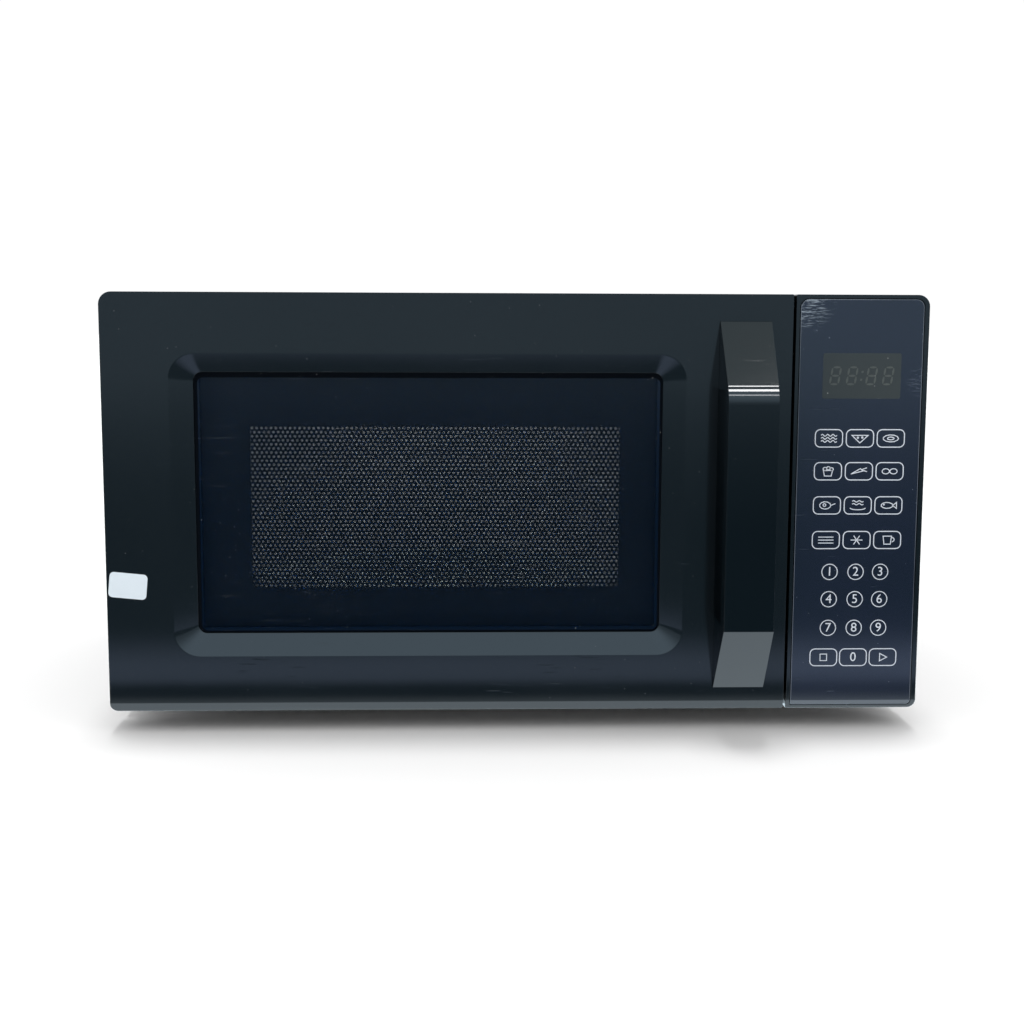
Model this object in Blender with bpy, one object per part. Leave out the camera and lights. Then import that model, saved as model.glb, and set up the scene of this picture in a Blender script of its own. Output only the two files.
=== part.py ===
"""Countertop microwave oven with a side-hung door, a turntable and a membrane keypad.

Run with blender --background --python part.py, or from Blender's text editor.

All sizes below are in millimetres and become metres when a mesh is made. +X is to the right,
-Y to the front and +Z up. The origin is on the table, under the middle of the whole oven.
"""

import math

import bmesh
import bpy
from mathutils import Matrix, Vector

MM = 0.001

# ---------------------------------------------------------------- driving dimensions

WIDTH = 460.0
FRONT_HEIGHT = 236.0
FOOT_HEIGHT = 12.0
CABINET_DEPTH = 300.0
DOOR_THICKNESS = 35.0
HANDLE_REACH = 33.0
REAR_BULGE = 8.0
CLEARANCE = 0.3  # left between pieces that touch on the real oven
PLASTIC = 2.5  # wall of the door and control panel mouldings
SHEET = 1.0  # wall of every steel pressing

# ---------------------------------------------------------------- planes of the oven

LEFT, RIGHT = -WIDTH / 2, WIDTH / 2
BOTTOM, TOP = FOOT_HEIGHT, FOOT_HEIGHT + FRONT_HEIGHT
DEPTH = HANDLE_REACH + DOOR_THICKNESS + 2.0 + CABINET_DEPTH + REAR_BULGE
HANDLE_FRONT = -DEPTH / 2
FACE = HANDLE_FRONT + HANDLE_REACH
DOOR_BACK = FACE + DOOR_THICKNESS
PLATE = DOOR_BACK + 2.0
REAR = PLATE + CABINET_DEPTH
SPLIT = 154.2  # middle of the gap between door and control panel
DOOR_RIGHT = SPLIT - 0.7
PANEL_LEFT = SPLIT + 0.8
BEVEL_TOP = BOTTOM + 5.0  # the front turns back below this height
BEVEL_SLOPE = 0.55

# Rectangles seen from the front are (left, bottom, right, top).
RECESS_EDGE = (-193.0, 44.0, 94.4, 214.3)
WINDOW_HOLE = (-180.2, 56.3, 81.9, 204.0)
RECESS_DEPTH = 6.0
CAVITY = (-201.0, 35.0, 107.0, 224.0)
CAVITY_BACK = 171.0
TRAY_X = (CAVITY[0] + CAVITY[2]) / 2
TRAY_Y = 26.0

# ---------------------------------------------------------------- joint axes

HINGE = Vector((-219.0, -134.0, 0.0))
HINGE_PIN_RADIUS = 3.0
WHEEL_RADIUS = 7.0
WHEEL_RING = 90.0
WHEEL_HEIGHT = CAVITY[1] + CLEARANCE + WHEEL_RADIUS
FAN = Vector((169.0, 0.0, 158.0))
LATCH_X = 133.0
HOOK_LOW, HOOK_HIGH = 82.0, 182.0
HOOK_TIP = -104.5


# ---------------------------------------------------------------- small tools


def clear_scene():
    for old in list(bpy.data.objects):
        bpy.data.objects.remove(old)


def finish_of(name, colour, roughness, metallic=0.0, alpha=1.0):
    made = bpy.data.materials.new(name)
    made.use_nodes = True
    shader = made.node_tree.nodes["Principled BSDF"]
    shader.inputs["Base Color"].default_value = (*colour, 1.0)
    shader.inputs["Roughness"].default_value = roughness
    shader.inputs["Metallic"].default_value = metallic
    shader.inputs["Alpha"].default_value = alpha
    made.diffuse_color = (*colour, alpha)
    return made


def pivot(name, place):
    """An empty on a joint's axis, which the moving pieces are parented to."""
    made = bpy.data.objects.new(name, None)
    made.location = Vector(place) * MM
    bpy.context.scene.collection.objects.link(made)
    return made


def make(name, bm, finish=None, axis=None):
    """An object from a bmesh in oven millimetres. With an axis empty, its origin lies there."""
    bmesh.ops.recalc_face_normals(bm, faces=bm.faces)
    return make_as_wound(name, bm, finish, axis)


def make_as_wound(name, bm, finish=None, axis=None):
    mesh = bpy.data.meshes.new(name)
    bm.to_mesh(mesh)
    bm.free()
    mesh.transform(Matrix.Scale(MM, 4))
    made = bpy.data.objects.new(name, mesh)
    bpy.context.scene.collection.objects.link(made)
    if axis is not None:
        mesh.transform(Matrix.Translation(-axis.location))
        made.parent = axis
    if finish is None:
        made.hide_render = True
        made.display_type = "WIRE"
    else:
        mesh.materials.append(finish)
    mesh.shade_smooth()
    mesh.set_sharp_from_angle(angle=math.radians(30))
    return made


def add_box(bm, low, high):
    size = Vector(high) - Vector(low)
    middle = (Vector(high) + Vector(low)) / 2
    place = Matrix.Translation(middle) @ Matrix.Diagonal((*size, 1.0))
    bmesh.ops.create_cube(bm, size=1.0, matrix=place)


def boxes(*pairs):
    bm = bmesh.new()
    for low, high in pairs:
        add_box(bm, low, high)
    return bm


TURNED = {
    "x": Matrix.Rotation(math.pi / 2, 4, "Y"),
    "y": Matrix.Rotation(-math.pi / 2, 4, "X"),
    "z": Matrix(),
}


def add_rod(bm, centre, radius, start, end, along="z", sides=24, end_radius=None):
    """A round bar from start to end along one axis. centre gives its place on the other two."""
    place = Vector(centre)
    place["xyz".index(along)] = (start + end) / 2
    bmesh.ops.create_cone(
        bm,
        cap_ends=True,
        segments=sides,
        radius1=radius,
        radius2=radius if end_radius is None else end_radius,
        depth=end - start,
        matrix=Matrix.Translation(place) @ TURNED[along],
    )


def rod(*args, **options):
    bm = bmesh.new()
    add_rod(bm, *args, **options)
    return bm


def lathe(profile, sides=32, place=(0, 0, 0), along="z"):
    """A closed turned body. profile is a ring of (radius, height) points that never meets the axis,
    or one that starts and ends on it."""
    bm = bmesh.new()
    rings = []
    for radius, height in profile:
        if radius < 1e-6:
            rings.append([bm.verts.new((0, 0, height))])
            continue
        turns = [2 * math.pi * i / sides for i in range(sides)]
        rings.append([bm.verts.new((radius * math.cos(a), radius * math.sin(a), height)) for a in turns])
    pairs = list(zip(rings, rings[1:]))
    if len(rings[0]) > 1:
        pairs.append((rings[-1], rings[0]))
    for low, high in pairs:
        for i in range(sides):
            j = (i + 1) % sides
            corners = [low[i % len(low)], low[j % len(low)], high[j % len(high)], high[i % len(high)]]
            bm.faces.new(list(dict.fromkeys(corners)))
    bmesh.ops.transform(bm, matrix=Matrix.Translation(place) @ TURNED[along], verts=bm.verts)
    return bm


def rounded(rect, radius, y, steps=5, grow=0.0):
    """The points of a rounded rectangle in an upright plane at depth y. radius is one number, or one
    for each corner: upper right, upper left, lower left and lower right."""
    x0, z0, x1, z1 = rect[0] - grow, rect[1] - grow, rect[2] + grow, rect[3] + grow
    corners = ((x1, z1, 0), (x0, z1, 90), (x0, z0, 180), (x1, z0, 270))
    radii = radius if isinstance(radius, tuple) else (radius,) * 4
    points = []
    for (cx, cz, start), radius in zip(corners, radii):
        middle_x = cx + (radius if cx == x0 else -radius)
        middle_z = cz + (radius if cz == z0 else -radius)
        for step in range(steps + 1):
            angle = math.radians(start + 90 * step / steps)
            points.append((middle_x + radius * math.cos(angle), y, middle_z + radius * math.sin(angle)))
    return points


def loft(loops, capped):
    """Skins a row of loops. Capped makes a plate or pan; otherwise the last loop joins the first."""
    bm = bmesh.new()
    rings = [[bm.verts.new(point) for point in loop] for loop in loops]
    pairs = list(zip(rings, rings[1:]))
    if capped:
        bm.faces.new(rings[0])
        bm.faces.new(rings[-1])
    else:
        pairs.append((rings[-1], rings[0]))
    count = len(rings[0])
    for a, b in pairs:
        for i in range(count):
            j = (i + 1) % count
            bm.faces.new((a[i], a[j], b[j], b[i]))
    return bm


def plate(rect, radius, front, back, steps=5):
    return loft([rounded(rect, radius, front, steps), rounded(rect, radius, back, steps)], capped=True)


def turn_back_bottom(bm):
    """Folds the lowest strip of a front moulding backwards, as the oven's front does above the feet."""
    geometry = bm.verts[:] + bm.edges[:] + bm.faces[:]
    bmesh.ops.bisect_plane(bm, geom=geometry, plane_co=(0, 0, BEVEL_TOP), plane_no=(0, 0, 1))
    for vert in bm.verts:
        if vert.co.z < BEVEL_TOP and vert.co.y < FACE + 9:
            vert.co.y += (BEVEL_TOP - vert.co.z) * BEVEL_SLOPE


def combine(target, operation, tool):
    """Cuts or joins another object into target, and leaves that object as a hidden helper."""
    step = target.modifiers.new(operation.lower() + "_" + tool.name, "BOOLEAN")
    step.operation = operation
    step.solver = "EXACT"
    step.object = tool
    tool.hide_render = True
    tool.display_type = "WIRE"


def cut(target, bm):
    combine(target, "DIFFERENCE", make("cutter", bm))


def join(target, *shapes):
    for bm in shapes:
        combine(target, "UNION", make("joined", bm))


def sheet_metal(made, thickness=SHEET):
    """Gives an open skin its wall, on the side that its faces point away from."""
    wall = made.modifiers.new("wall", "SOLIDIFY")
    wall.thickness = thickness * MM
    wall.offset = -1.0
    wall.use_even_offset = True
    return made


def slots(count, first, pitch, size):
    """A row of equal box cutters. first is the lowest corner of the first, pitch the step to the next."""
    bm = bmesh.new()
    for i in range(count):
        low = Vector(first) + Vector(pitch) * i
        add_box(bm, low, low + Vector(size))
    return bm


# ---------------------------------------------------------------- casing


def outer_cabinet(painted):
    """One steel sheet folded over the left side, the top and the right side, with a lip at the rear."""
    half = WIDTH / 2 - 1.0
    top = TOP - 1.0
    fold = 6.0

    def outline(inset, y):
        points = [(-half + inset, y, BOTTOM)]
        for cx, start in ((-half + fold + inset / 2, 180), (half - fold - inset / 2, 90)):
            for step in range(5):
                angle = math.radians(start - 90 * step / 4)
                reach = fold - inset / 2
                z = top - fold - inset / 2 + reach * math.sin(angle)
                points.append((cx + reach * math.cos(angle), y, z))
        points.append((half - inset, y, BOTTOM))
        return points

    bm = bmesh.new()
    front = PLATE + SHEET + CLEARANCE
    rows = [outline(0, front), outline(0, REAR), outline(9, REAR)]
    rows = [[bm.verts.new(point) for point in row] for row in rows]
    for a, b in zip(rows, rows[1:]):
        for i in range(len(a) - 1):
            bm.faces.new((a[i], a[i + 1], b[i + 1], b[i]))
    made = sheet_metal(make_as_wound("outer_cabinet", bm, painted))
    cut(made, slots(12, (WIDTH / 2 - 8, 20, 168), (0, 9, 0), (12, 4, 30)))
    cut(made, slots(10, (-WIDTH / 2 - 4, 75, 190), (0, 9, 0), (12, 4, 22)))
    return made


def rear_panel(galvanised):
    """The back, pressed out behind the fan so that the oven stands off the wall."""
    skin = REAR - SHEET - CLEARANCE
    outer = (LEFT + 2.5, BOTTOM + 2.5, RIGHT - 2.5, TOP - 2.5)
    bulge = (116.0, 96.0, 218.0, 228.0)
    bm = bmesh.new()
    loops = (
        rounded(outer, 4, skin),
        rounded(bulge, 10, skin),
        rounded(bulge, 8, skin + REAR_BULGE + SHEET + CLEARANCE, grow=-5),
    )
    rings = [[bm.verts.new(point) for point in loop] for loop in loops]
    for a, b in zip(rings, rings[1:]):
        for i in range(len(a)):
            j = (i + 1) % len(a)
            bm.faces.new((a[j], a[i], b[i], b[j]))
    bm.faces.new(rings[-1][::-1])
    made = sheet_metal(make_as_wound("rear_panel", bm, galvanised))
    cut(made, slots(9, (133, REAR - 12, 110), (8, 0, 0), (4, 30, 100)))
    cut(made, slots(9, (-190, REAR - 8, 196), (9, 0, 0), (4, 16, 26)))
    cut(made, rod((195, 0, 58), 8.0, REAR - 8, REAR + 6, "y", 20))
    return made


def base_plate(galvanised):
    """The bottom tray: a steel sheet turned up along both sides."""
    half = WIDTH / 2 - 2.4
    low, rise = BOTTOM + 1.0, 14.0
    profile = [
        (-half, low),
        (half, low),
        (half, low + rise),
        (half - SHEET, low + rise),
        (half - SHEET, low + SHEET),
        (-half + SHEET, low + SHEET),
        (-half + SHEET, low + rise),
        (-half, low + rise),
    ]
    bm = loft([[(x, y, z) for x, z in profile] for y in (PLATE + 1.5, REAR - 4)], capped=True)
    made = make("base_plate", bm, galvanised)
    cut(made, slots(10, (140, -100, low - 3), (0, 9, 0), (50, 4, 8)))
    cut(made, slots(6, (-60, 120, low - 3), (0, 8, 0), (70, 4, 8)))
    return made


def feet(rubber):
    for name, x, y in (
        ("foot_front_left", -148, -88),
        ("foot_front_right", 148, -88),
        ("foot_rear_left", -170, 140),
        ("foot_rear_right", 170, 140),
    ):
        top = BOTTOM + 1.0 - CLEARANCE
        profile = [(0, 0), (9.5, 0), (10.5, 1.2), (12.5, top - 2), (12.5, top), (0, top)]
        make(name, lathe(profile, 24, (x, y, 0)), rubber)


def cord_gland(black):
    """The plastic bush that leads the mains cord through the rear panel."""
    skin = REAR - SHEET - CLEARANCE
    profile = [(3.8, -8), (7.4, -8), (7.4, 0.6), (11, 0.6), (11, 2.2), (8.5, 5), (3.8, 5)]
    make("cord_gland", lathe(profile, 20, (195, skin, 58), "y"), black)


# ---------------------------------------------------------------- oven cavity


def front_plate(enamel):
    """The steel frame around the oven's mouth, slotted for the latch hooks."""
    outer = (LEFT + 1.0, BOTTOM + 1.0, RIGHT - 1.0, TOP - 2.0)
    back = PLATE + SHEET
    loops = [
        rounded(outer, 4, PLATE),
        rounded(CAVITY, 3, PLATE),
        rounded(CAVITY, 3, back),
        rounded(outer, 4, back),
    ]
    made = make("cavity_front_plate", loft(loops, capped=False), enamel)
    through = (PLATE - 2, PLATE + 4)
    cut(
        made,
        boxes(
            ((163, through[0], 32), (222, through[1], 230)),
            ((LATCH_X - 5, through[0], HOOK_HIGH - 16), (LATCH_X + 7, through[1], HOOK_HIGH + 14)),
            ((LATCH_X - 11, through[0], HOOK_LOW - 16), (LATCH_X + 12, through[1], HOOK_LOW + 14)),
        ),
    )
    return made


def cavity_walls(enamel):
    x0, z0, x1, z1 = CAVITY
    front, back = PLATE + SHEET + CLEARANCE, CAVITY_BACK - SHEET
    left, right = x0 + CLEARANCE, x1 - CLEARANCE
    low, high = z0 - 1.3, z1 + 1.3
    end = back - CLEARANCE
    make("cavity_left_wall", boxes(((x0 - SHEET, front, low), (x0, end, high))), enamel)
    rear = boxes(((x0 - SHEET, back, low), (x1 + SHEET, back + SHEET, high)))
    make("cavity_rear_wall", rear, enamel)
    make("cavity_ceiling", boxes(((left, front, z1), (right, end, z1 + SHEET))), enamel)
    floor = make("cavity_floor", boxes(((left, front, z0 - SHEET), (right, end, z0))), enamel)
    cut(floor, rod((TRAY_X, TRAY_Y, 0), 9.0, z0 - 6, z0 + 6, "z", 24))
    wall = make("cavity_right_wall", boxes(((x1, front, low), (x1 + SHEET, end, high))), enamel)
    cut(wall, boxes(((x1 - 4, 14, 132), (x1 + 4, 66, 168))))


def microwave_feed(galvanised, mica):
    """The waveguide on the cavity's right wall, and the mica sheet over its mouth."""
    near = CAVITY[2] + SHEET + CLEARANCE
    far = near + 20
    guide = make("waveguide", boxes(((near, -16, 112), (far, 80, 198))), galvanised)
    cut(guide, boxes(((near - 3, -15, 113), (far - SHEET, 79, 197))))
    cut(guide, rod((0, 32, 172), 10.0, far - 6, far + 6, "x", 24))
    inner = CAVITY[2] - CLEARANCE
    bm = boxes(((inner - 0.5, 6, 124), (inner, 74, 176)))
    make("mica_cover", bm, mica)
    return far


# ---------------------------------------------------------------- turntable


def turntable(glass, nylon, steel, drive, tray_axis, ring_axis):
    floor = CAVITY[1]
    centre = (TRAY_X, TRAY_Y, 0)
    motor_top = floor - SHEET - 1.0
    motor = make("turntable_motor", rod(centre, 24.5, motor_top - 14.5, motor_top, "z", 28), steel)
    ears = ((TRAY_X - 34, TRAY_Y - 6, motor_top - 2), (TRAY_X + 34, TRAY_Y + 6, motor_top - 0.6))
    join(motor, boxes(ears))
    make("turntable_shaft", rod(centre, 3.5, motor_top + CLEARANCE, 46, "z", 16), steel, drive)

    hub = make("drive_coupler", rod(centre, 8.0, floor + 1, 48.8, "z", 24), nylon, drive)
    for turn in range(3):
        bm = boxes(((6, -3, 41), (20, 3, 48.8)))
        spin = Matrix.Translation(centre) @ Matrix.Rotation(math.radians(90 + 120 * turn), 4, "Z")
        bmesh.ops.transform(bm, matrix=spin, verts=bm.verts)
        join(hub, bm)
    cut(hub, rod(centre, 3.9, floor - 4, 46.4, "z", 16))

    base = WHEEL_HEIGHT + WHEEL_RADIUS + CLEARANCE
    profile = [
        (0, base),
        (106, base),
        (112, base + 0.8),
        (123, base + 6.5),
        (127.5, base + 8.6),
        (127.5, base + 10),
        (121.5, base + 9.8),
        (110, base + 4.6),
        (105, base + 4),
        (0, base + 4),
    ]
    tray = make("glass_tray", lathe(profile, 48, centre), glass, tray_axis)
    for turn in range(3):
        bm = boxes(((11, -3.5, base - 4.5), (18, 3.5, base + 1)))
        spin = Matrix.Translation(centre) @ Matrix.Rotation(math.radians(30 + 120 * turn), 4, "Z")
        bmesh.ops.transform(bm, matrix=spin, verts=bm.verts)
        join(tray, bm)

    low, high = WHEEL_HEIGHT - 3.0, WHEEL_HEIGHT + 3.0
    ring = [(75, low), (82, low), (82, high), (75, high)]
    made = make("roller_ring", lathe(ring, 48, centre), nylon, ring_axis)
    hub_ring = [(25, low), (29, low), (29, high - 1), (25, high - 1)]
    join(made, lathe(hub_ring, 32, centre))
    for turn in range(3):
        spin = Matrix.Translation(centre) @ Matrix.Rotation(math.radians(120 * turn), 4, "Z")
        spoke = boxes(((27, -3, low + 0.5), (77, 3, high - 1.5)))
        bmesh.ops.transform(spoke, matrix=spin, verts=spoke.verts)
        stub = rod((0, 0, WHEEL_HEIGHT), 1.8, 80, 96, "x", 12)
        bmesh.ops.transform(stub, matrix=spin, verts=stub.verts)
        join(made, spoke, stub)


def roller_wheels(nylon, wheel_axes):
    """Three wheels that run between the cavity floor and the tray, each on its own stub."""
    half = 4.0
    profile = [(2.2, -half), (WHEEL_RADIUS, -half), (WHEEL_RADIUS, half), (2.2, half)]
    for turn, axis in enumerate(wheel_axes):
        bm = lathe(profile, 20, (WHEEL_RING, 0, WHEEL_HEIGHT), "x")
        turned = Matrix.Rotation(math.radians(120 * turn), 4, "Z")
        spin = Matrix.Translation((TRAY_X, TRAY_Y, 0)) @ turned
        bmesh.ops.transform(bm, matrix=spin, verts=bm.verts)
        make(f"roller_wheel_{turn + 1}", bm, nylon, axis)


# ---------------------------------------------------------------- door


def door_frame(gloss, hinge):
    """The door's outer moulding: a shell with a sloped recess around the window."""
    outer = (LEFT, BOTTOM, DOOR_RIGHT, TOP)
    inner = (LEFT + PLASTIC, BOTTOM + PLASTIC, DOOR_RIGHT - PLASTIC, TOP - PLASTIC)
    lip = FACE + RECESS_DEPTH
    loops = [
        rounded(outer, (2.0, 7.0, 4.0, 2.0), DOOR_BACK),
        rounded(outer, (2.0, 7.0, 4.0, 2.0), FACE + 1.5),
        rounded(outer, (1.6, 6.6, 3.6, 1.6), FACE + 0.4, grow=-0.4),
        rounded(outer, (0.5, 5.5, 2.5, 0.5), FACE, grow=-1.5),
        rounded(RECESS_EDGE, 14.5, FACE),
        rounded(WINDOW_HOLE, 5, lip),
        rounded(WINDOW_HOLE, 5, lip + PLASTIC),
        rounded(WINDOW_HOLE, 8, lip + PLASTIC, grow=8),
        rounded(RECESS_EDGE, 17, FACE + PLASTIC, grow=4.5),
        rounded(inner, (1.5, 4.5, 2.0, 1.5), FACE + PLASTIC),
        rounded(inner, (1.5, 4.5, 2.0, 1.5), DOOR_BACK),
    ]
    bm = loft(loops, capped=False)
    turn_back_bottom(bm)
    made = make("door_frame", bm, gloss, hinge)
    x, y = HINGE.x, HINGE.y
    for low, high in ((223.0, 237.0), (22.0, 36.0)):
        join(made, boxes(((LEFT + 1.2, FACE + 1.2, low), (x + 5.8, y + 6.3, high))))
        cut(made, rod((x, y, 0), HINGE_PIN_RADIUS + 0.35, low - 3, high + 3, "z", 20))
    room = [((LEFT - 2, y + 7.0, BOTTOM - 2), (x + 7, DOOR_BACK + 2, TOP + 2))]
    room.append(((LEFT - 2, y - 8.5, 238.5), (LEFT + 3.5, y + 12, 244.5)))
    room.append(((LEFT - 2, y - 8.5, 15.5), (LEFT + 3.5, y + 12, 20.5)))
    for low, high in room:
        cut(made, boxes((low, high)))
    for height in (50, 214):
        cut(made, rod((127, 0, height), 2.4, FACE - 3, FACE + 6, "y", 14))
    return made


def door_layers(glass, black_steel, clear, grey, hinge):
    """Outer window, screen with its choke channel, inner window and the cover over the choke."""
    seat = FACE + RECESS_DEPTH + PLASTIC + CLEARANCE
    x0, z0, x1, z1 = WINDOW_HOLE
    make("door_window", plate((x0 - 7, z0 - 7, x1 + 7, z1 + 7), 6, seat, seat + 3), glass, hinge)

    middle = -132.0
    plateau = (-200.0, 36.0, 106.0, 223.0)
    channel = (-211.5, 24.5, 117.5, 234.5)
    bm = bmesh.new()
    loops = (
        rounded(plateau, 6, middle),
        rounded(plateau, 6, middle - 9),
        rounded(channel, 6, middle - 9),
        rounded(channel, 6, DOOR_BACK - 2.6),
    )
    rings = [[bm.verts.new(point) for point in loop] for loop in loops]
    bm.faces.new(rings[0])
    for a, b in zip(rings, rings[1:]):
        for i in range(len(a)):
            j = (i + 1) % len(a)
            bm.faces.new((b[i], b[j], a[j], a[i]))
    sheet_metal(make_as_wound("door_screen_panel", bm, black_steel, hinge), 0.8)

    inner = middle + 1.2
    make("door_inner_window", plate((-194, 42, 100, 217), 4, inner, inner + 0.6), clear, hinge)

    rim = (-212.4, 23.5, DOOR_RIGHT - PLASTIC - 0.8, 237.0)
    mouth = (-196.0, 40.0, 102.0, 219.0)
    sill = (-188.0, 48.0, 94.0, 211.0)
    loops = [
        rounded(rim, 5, DOOR_BACK - 2.2),
        rounded(rim, 5, DOOR_BACK + 0.2),
        rounded(mouth, 8, DOOR_BACK + 0.2),
        rounded(sill, 6, inner + 2.6),
        rounded(sill, 6, inner + 1.0),
        rounded(mouth, 8, DOOR_BACK - 2.2, grow=1.0),
    ]
    cover = make("door_choke_cover", loft(loops, capped=False), grey, hinge)
    for hook, left, right in ((HOOK_HIGH, -3.2, 3.2), (HOOK_LOW, -9.2, 9.2)):
        low = (LATCH_X + left, DOOR_BACK - 6, hook - 11)
        cut(cover, boxes((low, (LATCH_X + right, DOOR_BACK + 4, hook + 11))))


def door_handle(gloss, steel, hinge):
    """A bow handle: a flat grip between two sloped feet, with a softened upper bend."""
    foot = FACE - CLEARANCE
    left, right = 112.4, 141.5
    grip_back = HANDLE_FRONT + 9.5
    outline = [(foot, 24.7), (HANDLE_FRONT, 64.1)]
    bend_radius = 9.0
    slope = math.atan2(foot - HANDLE_FRONT, 233.3 - 199.5)
    bend_start = 199.5 - bend_radius * math.tan(slope / 2)
    for step in range(6):
        angle = slope * step / 5
        y = HANDLE_FRONT + bend_radius * (1 - math.cos(angle))
        outline.append((y, bend_start + bend_radius * math.sin(angle)))
    outline.append((foot, 233.3))
    outline += [(foot, 197.5), (grip_back + 3, 197.5), (grip_back, 194.5)]
    outline += [(grip_back, 69.0), (grip_back + 3, 66.0), (foot, 66.0)]
    middle = (left + right) / 2
    sides = []
    for side in (-1, 1):
        loop = []
        for y, z in outline:
            draft = 1.1 * (foot - y) / HANDLE_REACH
            loop.append((middle + side * ((right - left) / 2 - draft), y, z))
        sides.append(loop)
    made = make("door_handle", loft(sides, capped=True), gloss, hinge)
    edges = made.modifiers.new("soft_edges", "BEVEL")
    edges.width = 0.7 * MM
    edges.segments = 2
    edges.limit_method = "ANGLE"
    edges.angle_limit = math.radians(35)
    for name, height in (("handle_screw_lower", 50), ("handle_screw_upper", 214)):
        place = (127, 0, height)
        behind = FACE + PLASTIC
        cut(made, rod(place, 2.3, foot - 13, foot + 3, "y", 14))
        head = rod(place, 4.0, behind + CLEARANCE, behind + 2.8, "y", 18)
        screw = make(name, head, steel, hinge)
        join(screw, rod(place, 1.9, foot - 12, behind + 1.0, "y", 12))


def latch(nylon, steel, slide, hinge):
    """The sprung bar in the door whose two hooks reach through the front plate."""
    back = -137.0
    x = LATCH_X
    bar = make("latch_hooks", boxes(((x - 5, back - 5, 64), (x + 5, back, 198))), nylon, slide)
    for height, half in ((HOOK_HIGH, 2.0), (HOOK_LOW, 2.0)):
        arm = boxes(((x - half, back - 3, height - 4), (x + half, HOOK_TIP, height + 4)))
        nose = boxes(((x - half, HOOK_TIP - 7, height - 8.5), (x + half, HOOK_TIP - 0.6, height - 2)))
        join(bar, arm, nose)
    join(bar, boxes(((x - 8, HOOK_TIP - 4, HOOK_LOW - 3), (x + 8, HOOK_TIP, HOOK_LOW + 3))))

    turns, per_turn, radius = 7, 10, 3.2
    low, high = 42.0, 63.2
    curve = bpy.data.curves.new("latch_spring", "CURVE")
    curve.dimensions = "3D"
    line = curve.splines.new("POLY")
    count = turns * per_turn + 1
    line.points.add(count - 1)
    for i in range(count):
        angle = 2 * math.pi * i / per_turn
        place = Vector((x + radius * math.cos(angle), back - 2.5 + radius * math.sin(angle), 0))
        place.z = low + 0.5 + (high - low - 1) * i / (count - 1)
        line.points[i].co = (*((place - HINGE) * MM), 1.0)
    curve.bevel_depth = 0.45 * MM
    curve.bevel_resolution = 0
    curve.use_fill_caps = True
    curve.materials.append(steel)
    made = bpy.data.objects.new("latch_spring", curve)
    bpy.context.scene.collection.objects.link(made)
    made.parent = hinge


def hinge_plates(steel):
    """Steel brackets on the front plate, each with the pin that one end of the door turns on."""
    x, y = HINGE.x, HINGE.y
    front = PLATE - CLEARANCE
    for name, arm, pin, tab in (
        ("hinge_plate_upper", (241.0, 243.2), (226.0, 242.0), (226.0, 243.2)),
        ("hinge_plate_lower", (16.8, 19.0), (18.0, 34.0), (16.8, 34.0)),
    ):
        made = make(name, boxes(((x - 4.5, y - 4.5, arm[0]), (x + 5.0, front, arm[1]))), steel)
        join(made, rod((x, y, 0), HINGE_PIN_RADIUS, pin[0], pin[1], "z", 20))
        join(made, boxes(((x - 4.5, front - 1.2, tab[0]), (x + 14.0, front, tab[1]))))


# ---------------------------------------------------------------- interlock


def interlock(nylon, black, plungers):
    """The bracket behind the front plate, three microswitches and the plungers the hooks press."""
    x = LATCH_X
    front = PLATE + SHEET + CLEARANCE
    bracket = make("interlock_bracket", boxes(((x - 15, front, 52), (x + 15, front + 26, 208))), nylon)
    for hook, left, right in ((HOOK_HIGH, -5.5, 7.5), (HOOK_LOW, -11.5, 12.5)):
        cut(bracket, boxes(((x + left, front - 3, hook - 17), (x + right, front + 30, hook + 15))))
    cut(bracket, boxes(((x - 18, front + 3, HOOK_LOW + 22), (x + 11, front + 30, HOOK_HIGH - 24))))
    for name, place, hook in (
        ("primary", x, HOOK_HIGH),
        ("secondary", x - 5.6, HOOK_LOW),
        ("monitor", x + 5.6, HOOK_LOW),
    ):
        face = HOOK_TIP + 3.3
        body = boxes(((place - 5.1, face, hook - 14), (place + 5.1, face + 16, hook + 14)))
        switch = make(f"{name}_switch", body, black)
        cut(switch, rod((place, 0, hook), 1.9, face - 3, face + 5, "y", 14))
        for height in (-8, 0, 8):
            low = (place - 3, face + 15, hook + height - 0.5)
            join(switch, boxes((low, (place + 3, face + 22, hook + height + 0.5))))
        bm = rod((place, 0, hook), 1.5, HOOK_TIP + CLEARANCE, face + 2.6, "y", 14)
        make(f"{name}_switch_plunger", bm, nylon, plungers[name])


# ---------------------------------------------------------------- control panel


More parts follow.
